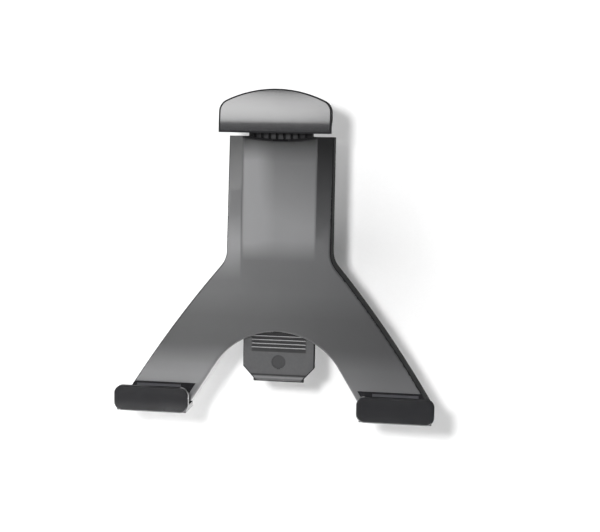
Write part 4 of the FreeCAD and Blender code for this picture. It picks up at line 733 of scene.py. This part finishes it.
def recessed_screws(node):
    """Screws put in from behind, each with a cross recess cut in its head and painted shade in the recess.
    """
    recess_depth = 0.75 * MM
    thing = merged_copy(node, node + "_dressed")
    edit(lambda: bpy.ops.mesh.separate(type="LOOSE"))
    screws = list(bpy.context.selected_objects)
    heads = [head_of(screw) for screw in screws]
    for screw, (spot, radius) in zip(screws, heads):
        for upright in (False, True):
            blade = cross_blade(spot, radius * 0.85, radius * 0.22, recess_depth, upright)
            modify(screw, "BOOLEAN", object=blade, operation="DIFFERENCE", solver="EXACT")
            bpy.data.objects.remove(blade)
    bpy.ops.object.select_all(action="DESELECT")
    for screw in screws:
        screw.select_set(True)
    bpy.context.view_layer.objects.active = thing
    bpy.ops.object.join()
    break_edges(thing, 0.1 * MM)
    join_body(thing, node, FINISHES[SLOTS[node]])

    def in_recess(face):
        for spot, radius in heads:
            reach = face.center - spot
            below_rim = -recess_depth - 0.05 * MM < reach.y < -0.03 * MM
            if below_rim and math.hypot(reach.x, reach.z) < radius * 0.62:
                return True
        return False

    # Painted shade in the cross recesses
    pick_faces(thing, in_recess)
    shade_picked(thing)


def flexing(node):
    """A smoothed copy of a spring, painted and left in its place on no body, standing for the CAD node."""
    thing = merged_copy(node, node + "_flexing")
    smooth(thing)
    paint(thing, FINISHES[SLOTS[node]])
    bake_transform(thing)
    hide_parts(node)


def flexing_springs():
    """The key's coil and the pawl's leaf, each copied in its place."""
    flexing("key_spring")
    flexing("pawl_spring")


def outlined_head():
    """The upper jaw, with painted shade in matt black on all but its sloping face."""
    head = merged_copy("jaw_head", "jaw_head_dressed")
    join_body(head, "jaw_head", FINISHES[SLOTS["jaw_head"]])
    outline_shade(head, 0.75 * MM)
    break_edges(head, 0.15 * MM)


# Studio

def towards(spot, aim, roll=0.0):
    """The placement of a camera or lamp that stands at spot and looks at aim."""
    back = (spot - aim).normalized()
    right = Vector((0, 0, 1)).cross(back).normalized()
    up = back.cross(right)
    tilted_right = math.cos(roll) * right + math.sin(roll) * up
    tilted_up = math.cos(roll) * up - math.sin(roll) * right
    turned = Matrix((tilted_right, tilted_up, back)).transposed().to_4x4()
    return Matrix.Translation(spot) @ turned


def from_front(turn, rise, away):
    """An offset towards the front, by its angles in radians round from the front and up, and its length."""
    return away * Vector((
        math.sin(turn) * math.cos(rise),
        -math.cos(turn) * math.cos(rise),
        math.sin(rise),
    ))


def round_object(turn, rise, away):
    """A spot in front of the plate, by its angles in degrees and its distance."""
    return Vector((0, PLATE_FRONT, 0)) + from_front(math.radians(turn), math.radians(rise), away)


def make_camera():
    lens = bpy.data.cameras.new("camera")
    lens.lens = CAMERA_LENS
    lens.sensor_width = SENSOR
    lens.sensor_fit = "HORIZONTAL"
    lens.clip_start = 0.01
    camera = bpy.data.objects.new("camera", lens)
    bpy.context.scene.collection.objects.link(camera)
    spot = CAMERA_AIM + from_front(CAMERA_TURN, CAMERA_RISE, CAMERA_AWAY)
    camera.matrix_world = towards(spot, CAMERA_AIM, CAMERA_ROLL)
    bpy.context.scene.camera = camera


def lamp(name, spot, aim, size, power, height=None):
    """A round lamp, or an upright card of light where it has a height."""
    light = bpy.data.lights.new(name, "AREA")
    light.shape = "RECTANGLE" if height else "DISK"
    light.size = size
    if height:
        light.size_y = height
    light.energy = power
    thing = bpy.data.objects.new(name, light)
    bpy.context.scene.collection.objects.link(thing)
    thing.matrix_world = towards(Vector(spot), Vector(aim))
    return thing


def sheet_material(name, shade, glow, one_way=False, brighter_rim=0.0):
    """White card, whose glow is seen, in reflections too, but lights nothing.

    A one way card is open to the lamps and eyes behind it.
    """
    made, graph = material(name)
    place = graph.place()
    fibre = graph.noise(place, 900.0, 3.0)
    darker = tuple(channel * 0.985 for channel in shade[:3]) + (1,)
    card = graph.node("ShaderNodeBsdfDiffuse", {}, {
        "Color": graph.blend(graph.fade(fibre, 0.3, 0.7), shade, darker),
    })
    spread = graph.node("ShaderNodeVectorMath", {"operation": "LENGTH"}, [place], "Value")
    rim = graph.fade(spread, WALL_PLACE + 30 * MM, WALL_PLACE + 170 * MM, 0.0, brighter_rim)
    seen = graph.ray("Is Camera Ray") + graph.ray("Is Glossy Ray") + graph.ray("Is Transmission Ray")
    light = graph.node("ShaderNodeEmission", {}, {"Strength": seen * (glow + rim)})
    lit = graph.node("ShaderNodeAddShader", {}, [card, light])
    if one_way:
        behind = graph.node("ShaderNodeNewGeometry", {}, {}, "Backfacing")
        lit = graph.node("ShaderNodeMixShader", {}, [
            behind * graph.ray("Is Camera Ray") + graph.ray("Is Shadow Ray"),
            lit,
            graph.node("ShaderNodeBsdfTransparent", {}, {}),
        ])
    graph.output(lit)
    return made


def sheet(name, size, middle, tilt, finish):
    """A flat square of the studio, which isn't part of the object."""
    bpy.ops.object.select_all(action="DESELECT")
    bpy.ops.mesh.primitive_grid_add(
        x_subdivisions=2, y_subdivisions=2, size=size, location=middle, rotation=(math.radians(tilt), 0, 0))
    thing = bpy.context.object
    thing.name = name
    bpy.ops.object.transform_apply(location=True, rotation=True, scale=True)
    paint(thing, finish)
    return thing


def make_studio():
    """A pale floor below the view, a white wall behind the clamp, and soft lamps."""
    floor = sheet("floor", FLOOR_SIZE, (0, WALL_PLACE - FLOOR_SIZE / 2, FLOOR_LEVEL), 0,
                  sheet_material("pale_floor", PALE, 0.2))
    wall = sheet("wall", WALL_SIZE, (0, WALL_PLACE, FLOOR_LEVEL + WALL_SIZE / 2), 90,
                 sheet_material("white_wall", WALL_PALE, 0.03, one_way=True, brighter_rim=0.3))

    # The small lamp up and left of the camera casts the photograph's shadow and shows in no reflection
    eye = bpy.context.scene.camera.matrix_world.translation
    up_left = Vector((-50 * MM, 0, 25 * MM))
    near_lamp = lamp("shadow_lamp", eye + up_left, CAMERA_AIM, size=30 * MM, power=2.8)
    near_lamp.visible_glossy = False

    # Soft lamps round the plate and behind it, in degrees, metres and watts
    plate = (0, -50 * MM, 0)
    lamp("upper_lamp", round_object(-18, 29, 0.75), plate, size=0.4, height=0.38, power=2.7)
    lamp("left_lamp", round_object(-64, 0, 0.7), plate, size=0.35, height=0.45, power=1.1)
    lamp("back_lamp", (-0.35, 0.7, 0.45), (0, 0, 0), size=0.3, height=0.3, power=5.0)
    lamp("low_card", round_object(-17, -5, 0.75), plate, size=0.2, height=0.06, power=0.32)

    # A room that the camera sees white but that lights the holder only faintly
    world = bpy.data.worlds.new("soft_room")
    bpy.context.scene.world = world
    graph = Graph(world)
    strength = graph.fade(graph.ray("Is Camera Ray"), 0.0, 1.0, 0.06, 1.0)
    glow = graph.node("ShaderNodeBackground", {}, {"Color": (1, 1, 1, 1), "Strength": strength})
    graph.output(glow, "ShaderNodeOutputWorld")


# Dressing the holder: the pieces that need no more than broken edges, with their width in millimetres
BROKEN_EDGES = {
    "rear_cover": 0.2, "jaw_slide": 0.12, "jaw_pad": 0.2,
    "left_hook_pad": 0.15, "right_hook_pad": 0.15,
    "swivel_plate": 0.25, "clamp_frame": 0.4, "pressure_jaw": 0.3, "clamp_knob": 0.2, "tilt_knob": 0.2,
    "seat_liner": 0.2, "pressure_liner": 0.2,
}

bpy.context.scene.view_settings.view_transform = "Standard"
FINISHES = make_finishes()
for name, thing in NODES.items():
    paint(thing, FINISHES[SLOTS[name]])
for name, width in BROKEN_EDGES.items():
    dressed(name, width)
recessed_screws("cover_screws")
recessed_screws("head_screws")
flexing_springs()
paint(NODES["clamp_screw"], FINISHES["screw_thread"])
# Pieces with a lean get painted shade on their sides
dressed("front_shell", 0.15, lean=38)
dressed("left_hook", 0.3, lean=70, finish="hook_face")
dressed("right_hook", 0.3, lean=70, finish="hook_face")
dressed("release_key", 0.25, lean=40)
outlined_head()

make_camera()
make_studio()
